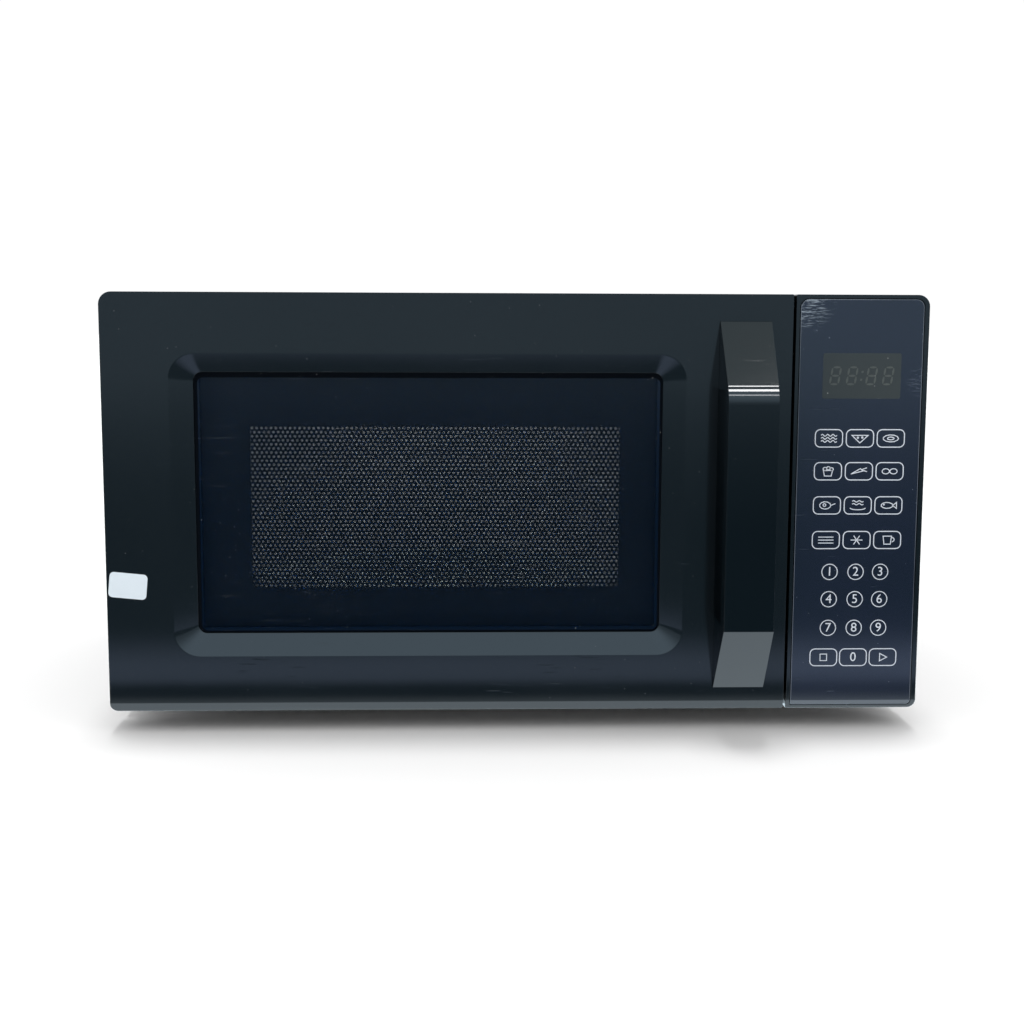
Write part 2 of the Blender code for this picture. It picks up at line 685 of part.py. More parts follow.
def control_panel(gloss, film, board_green, display_black):
    outer = (PANEL_LEFT, BOTTOM, RIGHT, TOP)
    inner = (PANEL_LEFT + PLASTIC, BOTTOM + PLASTIC, RIGHT - PLASTIC, TOP - PLASTIC)
    sunk = (PANEL_LEFT + 2.2, BOTTOM + 2.0, RIGHT - 2.8, TOP - 2.2)
    sunk_corners = (4.5, 5.4, 1.2, 2.5)
    loops = [
        rounded(sunk, sunk_corners, FACE + 0.9),
        rounded(sunk, sunk_corners, FACE),
        rounded(outer, (5.0, 0.5, 0.5, 2.5), FACE, grow=-1.5),
        rounded(outer, (6.1, 1.6, 1.6, 3.6), FACE + 0.4, grow=-0.4),
        rounded(outer, (6.5, 2.0, 2.0, 4.0), FACE + 1.5),
        rounded(outer, (6.5, 2.0, 2.0, 4.0), PLATE - CLEARANCE),
        rounded(inner, (4.5, 1.5, 1.5, 2.0), PLATE - CLEARANCE),
        rounded(inner, (4.5, 1.5, 1.5, 2.0), FACE + 0.9 + PLASTIC),
    ]
    bm = loft(loops, capped=True)
    turn_back_bottom(bm)
    housing = make("control_panel_housing", bm, gloss)
    display = (170.8, 190.2, 214.9, 215.6)
    x0, z0, x1, z1 = display
    cut(housing, boxes(((x0 - 0.5, FACE - 3, z0 - 0.5), (x1 + 0.5, FACE + 8, z1 + 0.5))))

    gap = CLEARANCE
    edge = (sunk[0] + gap, sunk[1] + gap, sunk[2] - gap, sunk[3] - gap)
    bm = plate(edge, tuple(corner - gap for corner in sunk_corners), FACE + 0.1, FACE + 0.6)
    turn_back_bottom(bm)
    make("keypad_overlay", bm, film)

    board_front = FACE + 15
    module = make("display_module", boxes(((x0, FACE + 0.9, z0), (x1, FACE + 7, z1))), display_black)
    join(module, boxes(((x0 - 3, FACE + 4.5, z0 - 3), (x1 + 3, board_front - gap, z1 + 3))))
    board = boxes(((160, board_front, 30), (225, board_front + 1.6, 226)))
    made = make("control_board", board, board_green)
    back = board_front + 1.0
    for low, high in (
        ((164, back, 40), (194, back + 17, 76)),
        ((200, back, 44), (216, back + 15, 72)),
        ((170, back, 92), (200, back + 9, 110)),
        ((206, back, 90), (216, back + 12, 100)),
    ):
        join(made, boxes((low, high)))
    join(made, rod((211, 0, 128), 6.0, back, back + 10, "y", 16))


# ---------------------------------------------------------------- power and cooling


def magnetron(aluminium, steel, start):
    """Antenna, cooling fins and filter box, bolted to the waveguide with its antenna inside."""
    y, z = 32.0, 172.0
    plate_at = start + CLEARANCE
    body = boxes(((plate_at, y - 46, z - 38), (plate_at + 2, y + 46, z + 38)))
    made = make("magnetron", body, aluminium)
    join(made, rod((0, y, z), 18, plate_at + 1, plate_at + 62, "x", 20))
    join(made, rod((0, y, z), 8, plate_at - 14, plate_at + 2, "x", 16))
    for i in range(7):
        fin = plate_at + 12 + 6 * i
        join(made, boxes(((fin, y - 40, z - 30), (fin + 1.2, y + 40, z + 30))))
    for side in (-1, 1):
        edge = z + side * 33
        join(made, boxes(((plate_at + 1, y - 28, edge - 1.2), (plate_at + 58, y + 28, edge + 1.2))))
    join(made, boxes(((plate_at + 56, y - 28, z - 34.2), (plate_at + 58.4, y + 28, z + 34.2))))
    join(made, boxes(((plate_at + 58, y - 30, z - 26), (plate_at + 88, y + 30, z + 26))))
    cutout = lathe([(0, 0), (7.5, 0), (7.5, 6), (4, 7.5), (0, 7.5)], 20, (plate_at + 30, y, z + 34.5))
    make("thermal_cutout", cutout, steel)


def transformer(laminated, copper):
    x0, x1 = 124.0, 208.0
    y0, y1 = 6.0, 66.0
    z0, z1 = BOTTOM + 2.3, 84.0
    core = make("transformer_core", boxes(((x0, y0, z0), (x1, y1, z1))), laminated)
    cut(core, boxes(((140, y0 - 4, 28), (157, y1 + 4, 70)), ((175, y0 - 4, 28), (192, y1 + 4, 70))))
    for name, low, high in (("primary_winding", 28.3, 46.5), ("secondary_winding", 49.0, 69.7)):
        rect, hole = (140.4, y0 - 13, 191.6, y1 + 13), (156.6, y0 - 0.4, 175.4, y1 + 0.4)
        rings = []
        for loop, height in ((rect, low), (rect, high), (hole, high), (hole, low)):
            radius = 9 if loop is rect else 0.5
            rings.append([(px, py, height) for px, _, py in rounded(loop, radius, 0, 4)])
        make(name, loft(rings, capped=False), copper)


def capacitor_and_diode(aluminium, black):
    can = (140.0, BOTTOM + 2.3, 194.0, 48.5)
    made = make("high_voltage_capacitor", plate(can, 16, 90, 160, 6), aluminium)
    for x in (156, 178):
        join(made, boxes(((x - 3, 84, 28), (x + 3, 92, 29.2))))
    make("high_voltage_diode", rod((206, 0, 26), 4.0, 92, 114, "y", 16), black)


def filter_board(board_green):
    made = make("noise_filter_board", boxes(((122, 92, 226), (186, 142, 227.6))), board_green)
    join(made, rod((138, 112, 0), 9, 227, 240, "z", 18))
    join(made, boxes(((154, 98, 227), (178, 106, 236)), ((160, 116, 227), (178, 132, 239))))


def cooling_fan(black, steel, blade_axis):
    """Shroud on the rear panel, shaded-pole motor in front of it and a five-blade impeller."""
    x, z = FAN.x, FAN.z
    frame = make("fan_shroud", boxes(((x - 52, 172, z - 52), (x + 52, 175, z + 52))), black)
    join(frame, rod((x, 0, z), 49.5, 150, 173.5, "y", 40))
    cut(frame, rod((x, 0, z), 46.5, 145, 182, "y", 40))
    for side in (-1, 1):
        inner, middle, outer = sorted((x + side * 24, x + side * 43.5, x + side * 48))
        arm = (middle, outer) if side > 0 else (inner, middle)
        join(frame, boxes(((arm[0], 129, z - 5), (arm[1], 153, z + 5))))
        join(frame, boxes(((inner + 0.7, 129.6, z - 4), (outer - 0.7, 132, z + 4))))
    motor = make("fan_motor", boxes(((x - 27, 132.4, z - 20), (x + 27, 147, z + 34))), steel)
    join(motor, rod((x, 0, z), 13, 124, 148.5, "y", 20))
    join(motor, boxes(((x - 14, 126, z + 18), (x + 14, 148.5, z + 33))))
    join(motor, rod((x, 0, z), 2.0, 148, 158, "y", 12))

    hub = make("fan_blade", rod((x, 0, z), 12, 152, 168, "y", 20), black, blade_axis)
    for turn in range(5):
        bm = boxes(((9, -1.0, -11), (43, 1.0, 11)))
        pitch = Matrix.Rotation(math.radians(62), 4, "X")
        spin = Matrix.Rotation(math.radians(72 * turn), 4, "Y")
        place = Matrix.Translation((x, 160, z))
        bmesh.ops.transform(bm, matrix=place @ spin @ pitch, verts=bm.verts)
        join(hub, bm)
    cut(hub, rod((x, 0, z), 2.4, 148, 159, "y", 12))


def cavity_lamp(glass, black):
    """A small bulb in its holder, behind the cavity's right wall."""
    start = CAVITY[2] + SHEET + 2
    profile = [(0, 0), (5, 1), (8.5, 5), (9, 10), (7, 17), (5, 21), (5, 26), (0, 26)]
    make("lamp_bulb", lathe(profile, 18, (start, -70, 196), "x"), glass)
    make("lamp_holder", rod((0, -70, 196), 9, start + 26.3, start + 44, "x", 20), black)


# ---------------------------------------------------------------- the whole oven


def build():
    clear_scene()
    gloss = finish_of("gloss_black_plastic", (0.02, 0.022, 0.025), 0.12)
    painted = finish_of("black_painted_steel", (0.03, 0.03, 0.032), 0.45)
    galvanised = finish_of("galvanised_steel", (0.55, 0.56, 0.57), 0.4, 0.9)
    enamel = finish_of("grey_cavity_enamel", (0.5, 0.51, 0.52), 0.4)
    rubber = finish_of("foot_rubber", (0.02, 0.02, 0.02), 0.8)
    black = finish_of("black_plastic", (0.03, 0.03, 0.03), 0.5)
    smoked = finish_of("smoked_window", (0.02, 0.025, 0.035), 0.05, 0.0, 0.5)
    clear = finish_of("clear_film", (0.6, 0.62, 0.65), 0.1, 0.0, 0.3)
    glass = finish_of("tray_glass", (0.8, 0.86, 0.85), 0.05, 0.0, 0.4)
    black_steel = finish_of("screen_black_steel", (0.02, 0.02, 0.022), 0.45)
    grey = finish_of("choke_grey_plastic", (0.06, 0.06, 0.065), 0.4)
    film = finish_of("keypad_film", (0.02, 0.023, 0.04), 0.2)
    display = finish_of("display_black", (0.04, 0.045, 0.042), 0.25)
    nylon = finish_of("white_nylon", (0.8, 0.8, 0.77), 0.45)
    steel = finish_of("zinc_steel", (0.6, 0.6, 0.6), 0.35, 1.0)
    aluminium = finish_of("aluminium", (0.75, 0.76, 0.77), 0.35, 1.0)
    copper = finish_of("lacquered_copper", (0.5, 0.22, 0.1), 0.4, 0.7)
    laminated = finish_of("core_steel", (0.25, 0.25, 0.26), 0.5, 0.8)
    board_green = finish_of("circuit_board", (0.05, 0.2, 0.1), 0.5)
    mica = finish_of("mica", (0.55, 0.5, 0.42), 0.6)

    hinge = pivot("door_hinge_axis", HINGE)
    slide = pivot("latch_slide_axis", (LATCH_X, -139.5, 130))
    drive = pivot("turntable_drive_axis", (TRAY_X, TRAY_Y, 0))
    tray_axis = pivot("tray_axis", (TRAY_X, TRAY_Y, 0))
    ring_axis = pivot("roller_ring_axis", (TRAY_X, TRAY_Y, 0))
    blade_axis = pivot("fan_axis", (FAN.x, 160, FAN.z))
    wheel_axes = []
    for turn in range(3):
        angle = math.radians(120 * turn)
        x, y = TRAY_X + WHEEL_RING * math.cos(angle), TRAY_Y + WHEEL_RING * math.sin(angle)
        wheel_axes.append(pivot(f"wheel_axis_{turn + 1}", (x, y, WHEEL_HEIGHT)))
    plungers = {}
    for name, x, z in (
        ("primary", LATCH_X, HOOK_HIGH),
        ("secondary", LATCH_X - 5.6, HOOK_LOW),
        ("monitor", LATCH_X + 5.6, HOOK_LOW),
    ):
        plungers[name] = pivot(f"{name}_plunger_axis", (x, HOOK_TIP, z))

    outer_cabinet(painted)
    rear_panel(galvanised)
    base_plate(galvanised)
    feet(rubber)
    cord_gland(black)
    front_plate(enamel)
    cavity_walls(enamel)
    guide_end = microwave_feed(galvanised, mica)
    turntable(glass, nylon, steel, drive, tray_axis, ring_axis)
    roller_wheels(nylon, wheel_axes)
    door_frame(gloss, hinge)
    door_layers(smoked, black_steel, clear, grey, hinge)
    door_handle(gloss, steel, hinge)
    latch(nylon, steel, slide, hinge)
    hinge_plates(steel)
    interlock(nylon, black, plungers)
    control_panel(gloss, film, board_green, display)
    magnetron(aluminium, steel, guide_end)
    transformer(laminated, copper)
    capacitor_and_diode(aluminium, black)
    filter_board(board_green)
    cooling_fan(black, steel, blade_axis)
    cavity_lamp(glass, black)
    bpy.context.view_layer.update()


build()
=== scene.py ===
# %% [markdown]
# # A countertop microwave oven
# This lesson dresses a packed microwave oven in Blender. The frame from CAD already fixes every size and
# every joint, so here we model what the eye sees: glossy mouldings, a perforated screen, printed keys and
# a painted cabinet. Each piece rides on a CAD body, so the finished door still opens.

import math

import bmesh
import bpy
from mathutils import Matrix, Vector


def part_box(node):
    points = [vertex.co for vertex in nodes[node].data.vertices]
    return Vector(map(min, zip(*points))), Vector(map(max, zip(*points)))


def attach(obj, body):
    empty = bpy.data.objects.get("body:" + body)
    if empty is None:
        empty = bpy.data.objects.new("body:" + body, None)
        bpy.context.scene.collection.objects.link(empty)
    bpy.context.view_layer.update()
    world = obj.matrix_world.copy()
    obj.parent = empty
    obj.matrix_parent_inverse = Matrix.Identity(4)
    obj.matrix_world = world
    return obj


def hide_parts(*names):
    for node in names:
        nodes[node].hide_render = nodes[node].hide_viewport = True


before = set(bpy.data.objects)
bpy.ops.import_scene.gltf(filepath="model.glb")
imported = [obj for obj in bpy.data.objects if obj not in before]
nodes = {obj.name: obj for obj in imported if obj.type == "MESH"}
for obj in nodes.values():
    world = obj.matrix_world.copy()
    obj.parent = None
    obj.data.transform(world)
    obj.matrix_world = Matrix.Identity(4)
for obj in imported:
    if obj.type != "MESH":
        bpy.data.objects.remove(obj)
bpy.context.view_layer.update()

# %% [markdown]
# ## Sizes
# The oven's face is 460 mm wide, and its seams and openings were fixed in CAD. The few numbers that the
# new pieces share are written once, in millimetres, because that is how a maker would read them off a
# drawing. Positions come from the CAD nodes wherever a node already holds them.

# %% Shared sizes in millimetres
MM = 0.001


def box_mm(name):
    """The two corners of a CAD part's box, in millimetres."""
    return [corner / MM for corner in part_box(name)]


door_low, door_high = box_mm("door_frame")
panel_low, panel_high = box_mm("control_panel_housing")
UPRIGHT = (math.pi / 2, 0, 0)
FACE = door_low.y
DOOR_BACK = door_high.y
BEVEL_TOP, FOLD = door_low.z + 5.0, 0.55
RECESS_EDGE = (-193.0, 44.0, 94.4, 214.3)
WINDOW_HOLE = (-180.2, 56.3, 81.9, 204.0)
PANEL_FILM = (panel_low.x + 2.5, panel_low.z + 2.3, panel_high.x - 3.1, panel_high.z - 2.5)
print("face at y", round(FACE, 1), "door", [round(c, 1) for c in door_low], [round(c, 1) for c in door_high])

# %% [markdown]
# ## The modelling bench
# Every piece is made the way a hand would make it: add a primitive, pick faces or edges by their place,
# and push them with Blender's own operators. Operators act on whatever is selected, and the frame arrives
# selected, so each helper first lets go of everything. A small set of such helpers keeps the cells short.


# %% Picking up and letting go
def let_go():
    if bpy.context.mode != "OBJECT":
        bpy.ops.object.mode_set(mode="OBJECT")
    bpy.ops.object.select_all(action="DESELECT")


def take(*pieces):
    let_go()
    for piece in pieces:
        piece.select_set(True)
    bpy.context.view_layer.objects.active = pieces[0]


def settle(piece):
    """Moves the piece's place, turn and scale into its mesh, so that its object sits at the origin."""
    take(piece)
    bpy.ops.object.transform_apply(location=True, rotation=True, scale=True)
    return piece


def set_down(piece, place, turn=(0, 0, 0)):
    """Turns a piece, moves it to a place in millimetres and settles it there."""
    piece.rotation_euler = turn
    piece.location = Vector(place) * MM
    return settle(piece)


def edit(piece, kind="FACE", start="DESELECT"):
    """Opens a piece in edit mode with nothing selected, or with everything where start is SELECT."""
    take(piece)
    bpy.ops.object.mode_set(mode="EDIT")
    bpy.ops.mesh.select_mode(type=kind)
    bpy.ops.mesh.select_all(action=start)


def done():
    bpy.ops.object.mode_set(mode="OBJECT")


def middle_of(part):
    if isinstance(part, bmesh.types.BMVert):
        return part.co
    points = [vert.co for vert in part.verts]
    return sum(points, Vector()) / len(points)


def pick(piece, test):
    """In edit mode, selects each face, edge or vertex whose middle, in millimetres, passes the test."""
    mesh = bmesh.from_edit_mesh(piece.data)
    mode = bpy.context.tool_settings.mesh_select_mode
    parts = mesh.verts if mode[0] else mesh.edges if mode[1] else mesh.faces
    count = 0
    for part in parts:
        chosen = bool(test(middle_of(part) / MM, part))
        part.select_set(chosen)
        count += chosen
    mesh.select_flush_mode()
    bmesh.update_edit_mesh(piece.data)
    return count


def joined(name, *pieces):
    take(*pieces)
    if len(pieces) > 1:
        bpy.ops.object.join()
    bpy.context.object.name = name
    return bpy.context.object


def bevel(width, steps, **more):
    """In edit mode, rounds the selected edges, or vertices where more says so."""
    bpy.ops.mesh.bevel(offset=width * MM, segments=steps, **{"affect": "EDGES", **more})


def pull(x, y, z):
    """In edit mode, extrudes the selection by a shift in millimetres."""
    bpy.ops.mesh.extrude_region_move(TRANSFORM_OT_translate={"value": (x * MM, y * MM, z * MM)})


def face_out():
    bpy.ops.mesh.select_all(action="SELECT")
    bpy.ops.mesh.normals_make_consistent(inside=False)


print("bench ready")

# %% [markdown]
# ## Starting shapes
# Two starts cover most of this oven. A block is a cube scaled between two corners. A rounded panel is an
# upright plane whose four corners are bevelled as vertices, which gives true arcs. Stacking such panels
# at different depths and bridging their edges makes a moulding, just as a mould maker stacks sections.


# %% Blocks and rounded panels
def block(name, low, high):
    low, high = Vector(low) * MM, Vector(high) * MM
    let_go()
    bpy.ops.mesh.primitive_cube_add(size=1, location=(low + high) / 2)
    piece = bpy.context.object
    piece.name = name
    piece.scale = high - low
    return settle(piece)


def rounded_panel(name, rect, radius, y, steps=10):
    """radius is one number, or one each for the upper right, upper left, lower left and lower right."""
    x0, z0, x1, z1 = rect
    let_go()
    place = ((x0 + x1) / 2 * MM, y * MM, (z0 + z1) / 2 * MM)
    bpy.ops.mesh.primitive_plane_add(size=1, location=place, rotation=UPRIGHT)
    piece = bpy.context.object
    piece.name = name
    piece.scale = ((x1 - x0) * MM, (z1 - z0) * MM, 1)
    settle(piece)
    edit(piece, "VERT")
    radii = radius if isinstance(radius, tuple) else (radius,) * 4
    for (x, z), corner in zip(((x1, z1), (x0, z1), (x0, z0), (x1, z0)), radii):
        pick(piece, lambda p, v: abs(p.x - x) + abs(p.z - z) < 0.001)
        bevel(corner, steps, affect="VERTICES", clamp_overlap=False)
    done()
    return piece


def rod(radius, depth, centre, turn=(0, 0, 0), sides=32):
    """A cylinder that stands upright unless it is turned."""
    let_go()
    bpy.ops.mesh.primitive_cylinder_add(
        vertices=sides, radius=radius * MM, depth=depth * MM, location=Vector(centre) * MM, rotation=turn)
    return settle(bpy.context.object)


def grown(rect, by):
    return (rect[0] - by, rect[1] - by, rect[2] + by, rect[3] + by)


def thicken(piece, depth):
    """Draws a flat panel backwards into a closed plate."""
    edit(piece, "FACE", "SELECT")
    pull(0, depth, 0)
    face_out()
    done()
    return piece


def moulding(name, sections, closed):
    """Bridges a row of rounded panels. Open ends keep their panel as a cap; closed joins last to first.
    The panels are bridged while they stand well apart in depth, and only then take their real depths,
    because two loops in one plane give the bridge no direction to follow."""
    apart = 200
    rings = []
    for number, (rect, radius, y) in enumerate(sections):
        ring = rounded_panel(f"{name}_{number}", rect, radius, number * apart)
        group = ring.vertex_groups.new(name=f"ring_{number}")
        group.add(range(len(ring.data.vertices)), 1.0, "REPLACE")
        if closed or 0 < number < len(sections) - 1:
            edit(ring, "FACE", "SELECT")
            bpy.ops.mesh.delete(type="ONLY_FACE")
            done()
        rings.append(ring)
    piece = joined(name, *rings)
    last = len(sections) - 1
    pairs = [(i, i + 1) for i in range(last)] + ([(last, 0)] if closed else [])
    for pair in pairs:
        edit(piece, "VERT")
        for number in pair:
            piece.vertex_groups.active_index = piece.vertex_groups[f"ring_{number}"].index
            bpy.ops.object.vertex_group_select()
        bpy.ops.mesh.select_mode(type="EDGE")
        bpy.ops.mesh.bridge_edge_loops()
    done()
    for vert in piece.data.vertices:
        vert.co.y = sections[round(vert.co.y / MM / apart)][2] * MM
    edit(piece)
    face_out()
    done()
    piece.vertex_groups.clear()
    return piece


sample = moulding("sample", [((0, 0, 40, 20), 4, 0), ((2, 2, 38, 18), 3, -2)], closed=False)
print("a two-section moulding has", len(sample.data.polygons), "faces")
bpy.data.objects.remove(sample)

# %% [markdown]
# ## Finishing a shape
# Real edges are never perfectly sharp, and on gloss plastic the rounded edge is what catches the light.
# So every moulding gets a Bevel modifier with an angle limit, applied, and then smooth shading that keeps
# creases. Holes are cut with the exact Boolean, and the cutter is thrown away afterwards.


# %% Bevels, cuts and joins
def apply_step(piece, kind, **settings):
    take(piece)
    step = piece.modifiers.new(kind.lower(), kind)
    for key, value in settings.items():
        setattr(step, key, value)
    bpy.ops.object.modifier_apply(modifier=step.name)
    return piece


def soften(piece, width, segments=3, above=20.0):
    return apply_step(piece, "BEVEL", width=width * MM, segments=segments, limit_method="ANGLE",
                      angle_limit=math.radians(above))


def smooth(piece, degrees=30):
    """Smooth shading that keeps creases, weighted so that large flat faces stay flat."""
    take(piece)
    bpy.ops.object.shade_smooth_by_angle(angle=math.radians(degrees))
    return apply_step(piece, "WEIGHTED_NORMAL", mode="FACE_AREA", weight=100, keep_sharp=True)


def cut(piece, cutter, operation="DIFFERENCE"):
    apply_step(piece, "BOOLEAN", object=cutter, operation=operation, solver="EXACT")
    bpy.data.objects.remove(cutter)
    return piece


def copy_to(piece, shift, name):
    take(piece)
    bpy.ops.object.duplicate(linked=False)
    made = bpy.context.object
    made.name = name
    return set_down(made, shift)


def row_of(piece, count, step):
    """A row of equal copies, one step apart, joined into the first."""
    return apply_step(piece, "ARRAY", count=count, use_relative_offset=False, use_constant_offset=True,
                      constant_offset_displace=Vector(step) * MM)


def slice_at(*heights):
    """In edit mode, cuts the whole piece across at each height in millimetres."""
    bpy.ops.mesh.select_mode(type="VERT")
    for height in heights:
        bpy.ops.mesh.select_all(action="SELECT")
        bpy.ops.mesh.bisect(plane_co=(0, 0, height * MM), plane_no=(0, 0, 1))


def fold_bottom(piece):
    """Turns the lowest strip of a front moulding backwards, as the whole front does above the feet."""
    edit(piece)
    slice_at(BEVEL_TOP)
    done()
    for vert in piece.data.vertices:
        if vert.co.z < BEVEL_TOP * MM and vert.co.y < (FACE + 9) * MM:
            vert.co.y += (BEVEL_TOP * MM - vert.co.z) * FOLD
    return piece


def dress(target, material):
    piece = nodes[target] if isinstance(target, str) else target
    piece.data.materials.clear()
    piece.data.materials.append(material)


def fit_out(piece, material, body, slot, *stands_for):
    """Gives a finished piece its material and its body, and hides the CAD parts that it stands for. The slot
    is not used.
    """
    dress(piece, material)
    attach(piece, body)
    if stands_for:
        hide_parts(*stands_for)
    print(piece.name, "rides on", body, "with", len(piece.data.polygons), "faces")
    return piece


print("finishing tools ready")

# %% [markdown]
# ## The camera and the light
# The oven is seen from just below its top edge, a little left of its middle, with a lens of 54 mm.
# Gloss shows what stands around an object, so the pale world and floor answer glossy rays with a dim room
# and a table, the handle alone gets three ceiling lights, and a wide sun gives the shadow on the floor.

# %% Camera
eye = bpy.data.objects.new("camera", bpy.data.cameras.new("camera"))
bpy.context.scene.collection.objects.link(eye)
eye.location = (-0.0327, -1.0125, 0.2374)
eye.rotation_euler = [math.radians(a) for a in (82.6096, -0.2258, -1.9674)]
eye.data.lens = 54.088
eye.data.sensor_width = 36
eye.data.clip_start = 0.01
bpy.context.scene.camera = eye
print("camera", tuple(round(v, 3) for v in eye.location))


# %% Small node helpers
def supply(socket, value):
    """Links a socket to another, or sets it to a number or a colour."""
    if isinstance(value, bpy.types.NodeSocket):
        socket.id_data.links.new(value, socket)
    elif value is not None:
        colour = socket.type == "RGBA" and not isinstance(value, (int, float)) and len(value) == 3
        socket.default_value = (*value, 1.0) if colour else value


def plug(node, **settings):
    """Feeds the inputs that the settings name, with an underscore for each space."""
    for key, value in settings.items():
        label = key.replace("_", " ").lower()
        for socket in node.inputs:
            if socket.name.lower() == label and socket.enabled:
                supply(socket, value)
                break
    return node


def add(tree, kind, **settings):
    """A new node with its settings, which may name properties or inputs."""
    node = tree.nodes.new(kind)
    for key, value in settings.items():
        if hasattr(node, key) and key not in node.inputs:
            setattr(node, key, value)
    return plug(node, **settings)


def maths(tree, operation, a, b=None, clamp=False):
    node = tree.nodes.new("ShaderNodeMath")
    node.operation = operation
    node.use_clamp = clamp
    supply(node.inputs[0], a)
    supply(node.inputs[1], b)
    return node.outputs[0]


def ramp(tree, value, low, high, to_low=0.0, to_high=1.0, smooth_step=False):
    node = tree.nodes.new("ShaderNodeMapRange")
    node.interpolation_type = "SMOOTHSTEP" if smooth_step else "LINEAR"
    for socket, given in zip(node.inputs, (value, low, high, to_low, to_high)):
        supply(socket, given)
    return node.outputs[0]


def blend_colour(tree, factor, a, b, mode="MIX"):
    node = tree.nodes.new("ShaderNodeMix")
    node.data_type = "RGBA"
    node.blend_type = mode
    for number, value in ((0, factor), (6, a), (7, b)):
        supply(node.inputs[number], value)
    return node.outputs[2]


def times(tree, a, b):
    return maths(tree, "MULTIPLY", a, b)


def own_space(tree):
    """The piece's own coordinates, which keep a pattern on it when the oven turns."""
    return add(tree, "ShaderNodeTexCoord").outputs["Object"]


def noise(tree, vector, scale, detail):
    return add(tree, "ShaderNodeTexNoise", Vector=vector, Scale=scale, Detail=detail).outputs["Fac"]


def shaded(tree, colour, tone):
    return add(tree, "ShaderNodeVectorMath", operation="SCALE", Vector=colour, Scale=tone).outputs[0]


def new_material(name):
    made = bpy.data.materials.new(name)
    made.use_nodes = True
    return made, made.node_tree, made.node_tree.nodes["Principled BSDF"]


# %% World
def first_gloss(tree):
    """One where a glossy ray comes straight from what the eye sees, otherwise nothing."""
    ray = add(tree, "ShaderNodeLightPath")
    early = maths(tree, "LESS_THAN", ray.outputs["Diffuse Depth"], 0.5)
    return times(tree, ray.outputs["Is Glossy Ray"], early)


def answer_gloss(tree, plain, glossy, output):
    """Ends a tree in two shaders: gloss of that kind sees the second, and all else sees the first."""
    both = add(tree, "ShaderNodeMixShader")
    for socket, source in zip(both.inputs, (first_gloss(tree), plain.outputs[0], glossy.outputs[0])):
        tree.links.new(source, socket)
    tree.links.new(both.outputs[0], add(tree, output).inputs["Surface"])


world = bpy.data.worlds.new("studio")
bpy.context.scene.world = world
world.use_nodes = True
sky = world.node_tree
sky.nodes.clear()
place = add(sky, "ShaderNodeTexCoord")
ways = add(sky, "ShaderNodeSeparateXYZ", Vector=place.outputs["Generated"]).outputs
room = (0.42, 0.62, 0.78)
for low, high, colour in ((0.02, 0.50, (1.25, 1.72, 2.12)), (0.60, 0.95, (0.85, 1.08, 1.18))):
    room = blend_colour(sky, ramp(sky, ways["Z"], low, high, smooth_step=True), room, colour)
room = blend_colour(sky, ramp(sky, ways["Y"], 0.05, 0.40), room, (0.60, 0.63, 0.66))
straight = add(sky, "ShaderNodeLightPath").outputs["Is Camera Ray"]
fill = blend_colour(sky, straight, (0.90, 0.90, 0.90), (1.02, 1.02, 1.02))
lit = add(sky, "ShaderNodeBackground", Color=fill, Strength=1.0)
gloss = add(sky, "ShaderNodeBackground", Color=room, Strength=1.0)
answer_gloss(sky, lit, gloss, "ShaderNodeOutputWorld")
bpy.context.scene.view_settings.view_transform = "Standard"
print("world set")

# %% Floor
let_go()
bpy.ops.mesh.primitive_plane_add(size=30)
floor = bpy.context.object
floor.name = "floor"
white = bpy.data.materials.new("studio_floor")
white.use_nodes = True
tree = white.node_tree
tree.nodes.clear()
away = add(tree, "ShaderNodeSeparateXYZ", Vector=own_space(tree)).outputs["Y"]
table = (0.10, 0.21, 0.29)
for start, end, colour in (
    (-1.0, -4.5, (0.42, 0.62, 0.78)),
    (-0.43, -0.33, (0.60, 0.82, 1.16)),
    (-0.285, -0.262, (0.08, 0.17, 0.24)),
    (-0.24, -0.19, (1.85, 2.20, 2.45)),
    (-0.10, 0.15, (0.50, 0.53, 0.56)),
):
    table = blend_colour(tree, ramp(tree, away, start, end), table, colour)
matte = add(tree, "ShaderNodeBsdfDiffuse", Color=(0.97, 0.97, 0.97, 1.0))
seen = add(tree, "ShaderNodeEmission", Color=table, Strength=1.0)
answer_gloss(tree, matte, seen, "ShaderNodeOutputMaterial")
floor.data.materials.append(white)
print("floor laid")


# %% Lamps
def softbox(name, place, aim, width, height, power):
    lamp = bpy.data.objects.new(name, bpy.data.lights.new(name, "AREA"))
    bpy.context.scene.collection.objects.link(lamp)
    lamp.location = place
    lamp.rotation_euler = (Vector(aim) - Vector(place)).to_track_quat("-Z", "Y").to_euler()
    lamp.data.shape = "RECTANGLE"
    lamp.data.size = width
    lamp.data.size_y = height
    lamp.data.energy = power
    return lamp


def ceiling_light(name, elevation, breadth, power):
    """A ceiling light that only the handle's gloss answers, at an elevation seen from the handle."""
    lean = math.radians(elevation)
    grip = Vector((0.127, -0.189, 0.198))
    place = grip + Vector((0.15, -math.cos(lean), math.sin(lean))) * 1.2
    lamp = softbox(name, place, grip, 0.5, breadth, power)
    lamp.visible_diffuse = False
    lamp.light_linking.receiver_collection = ceiling_lit
    return lamp


ceiling_lit = bpy.data.collections.new("lit_by_the_ceiling")
ceiling_light("ceiling_high", 70.5, 0.12, 5.5)
ceiling_light("ceiling_middle", 50.5, 0.14, 8)
ceiling_light("ceiling_low", 35.0, 0.06, 1.1)
overhead = bpy.data.objects.new("overhead", bpy.data.lights.new("overhead", "SUN"))
bpy.context.scene.collection.objects.link(overhead)
overhead.rotation_euler = (math.radians(-6), 0, 0)
overhead.data.energy = 1.17
overhead.data.angle = math.radians(13)
overhead.visible_glossy = False
print("lamps hung")

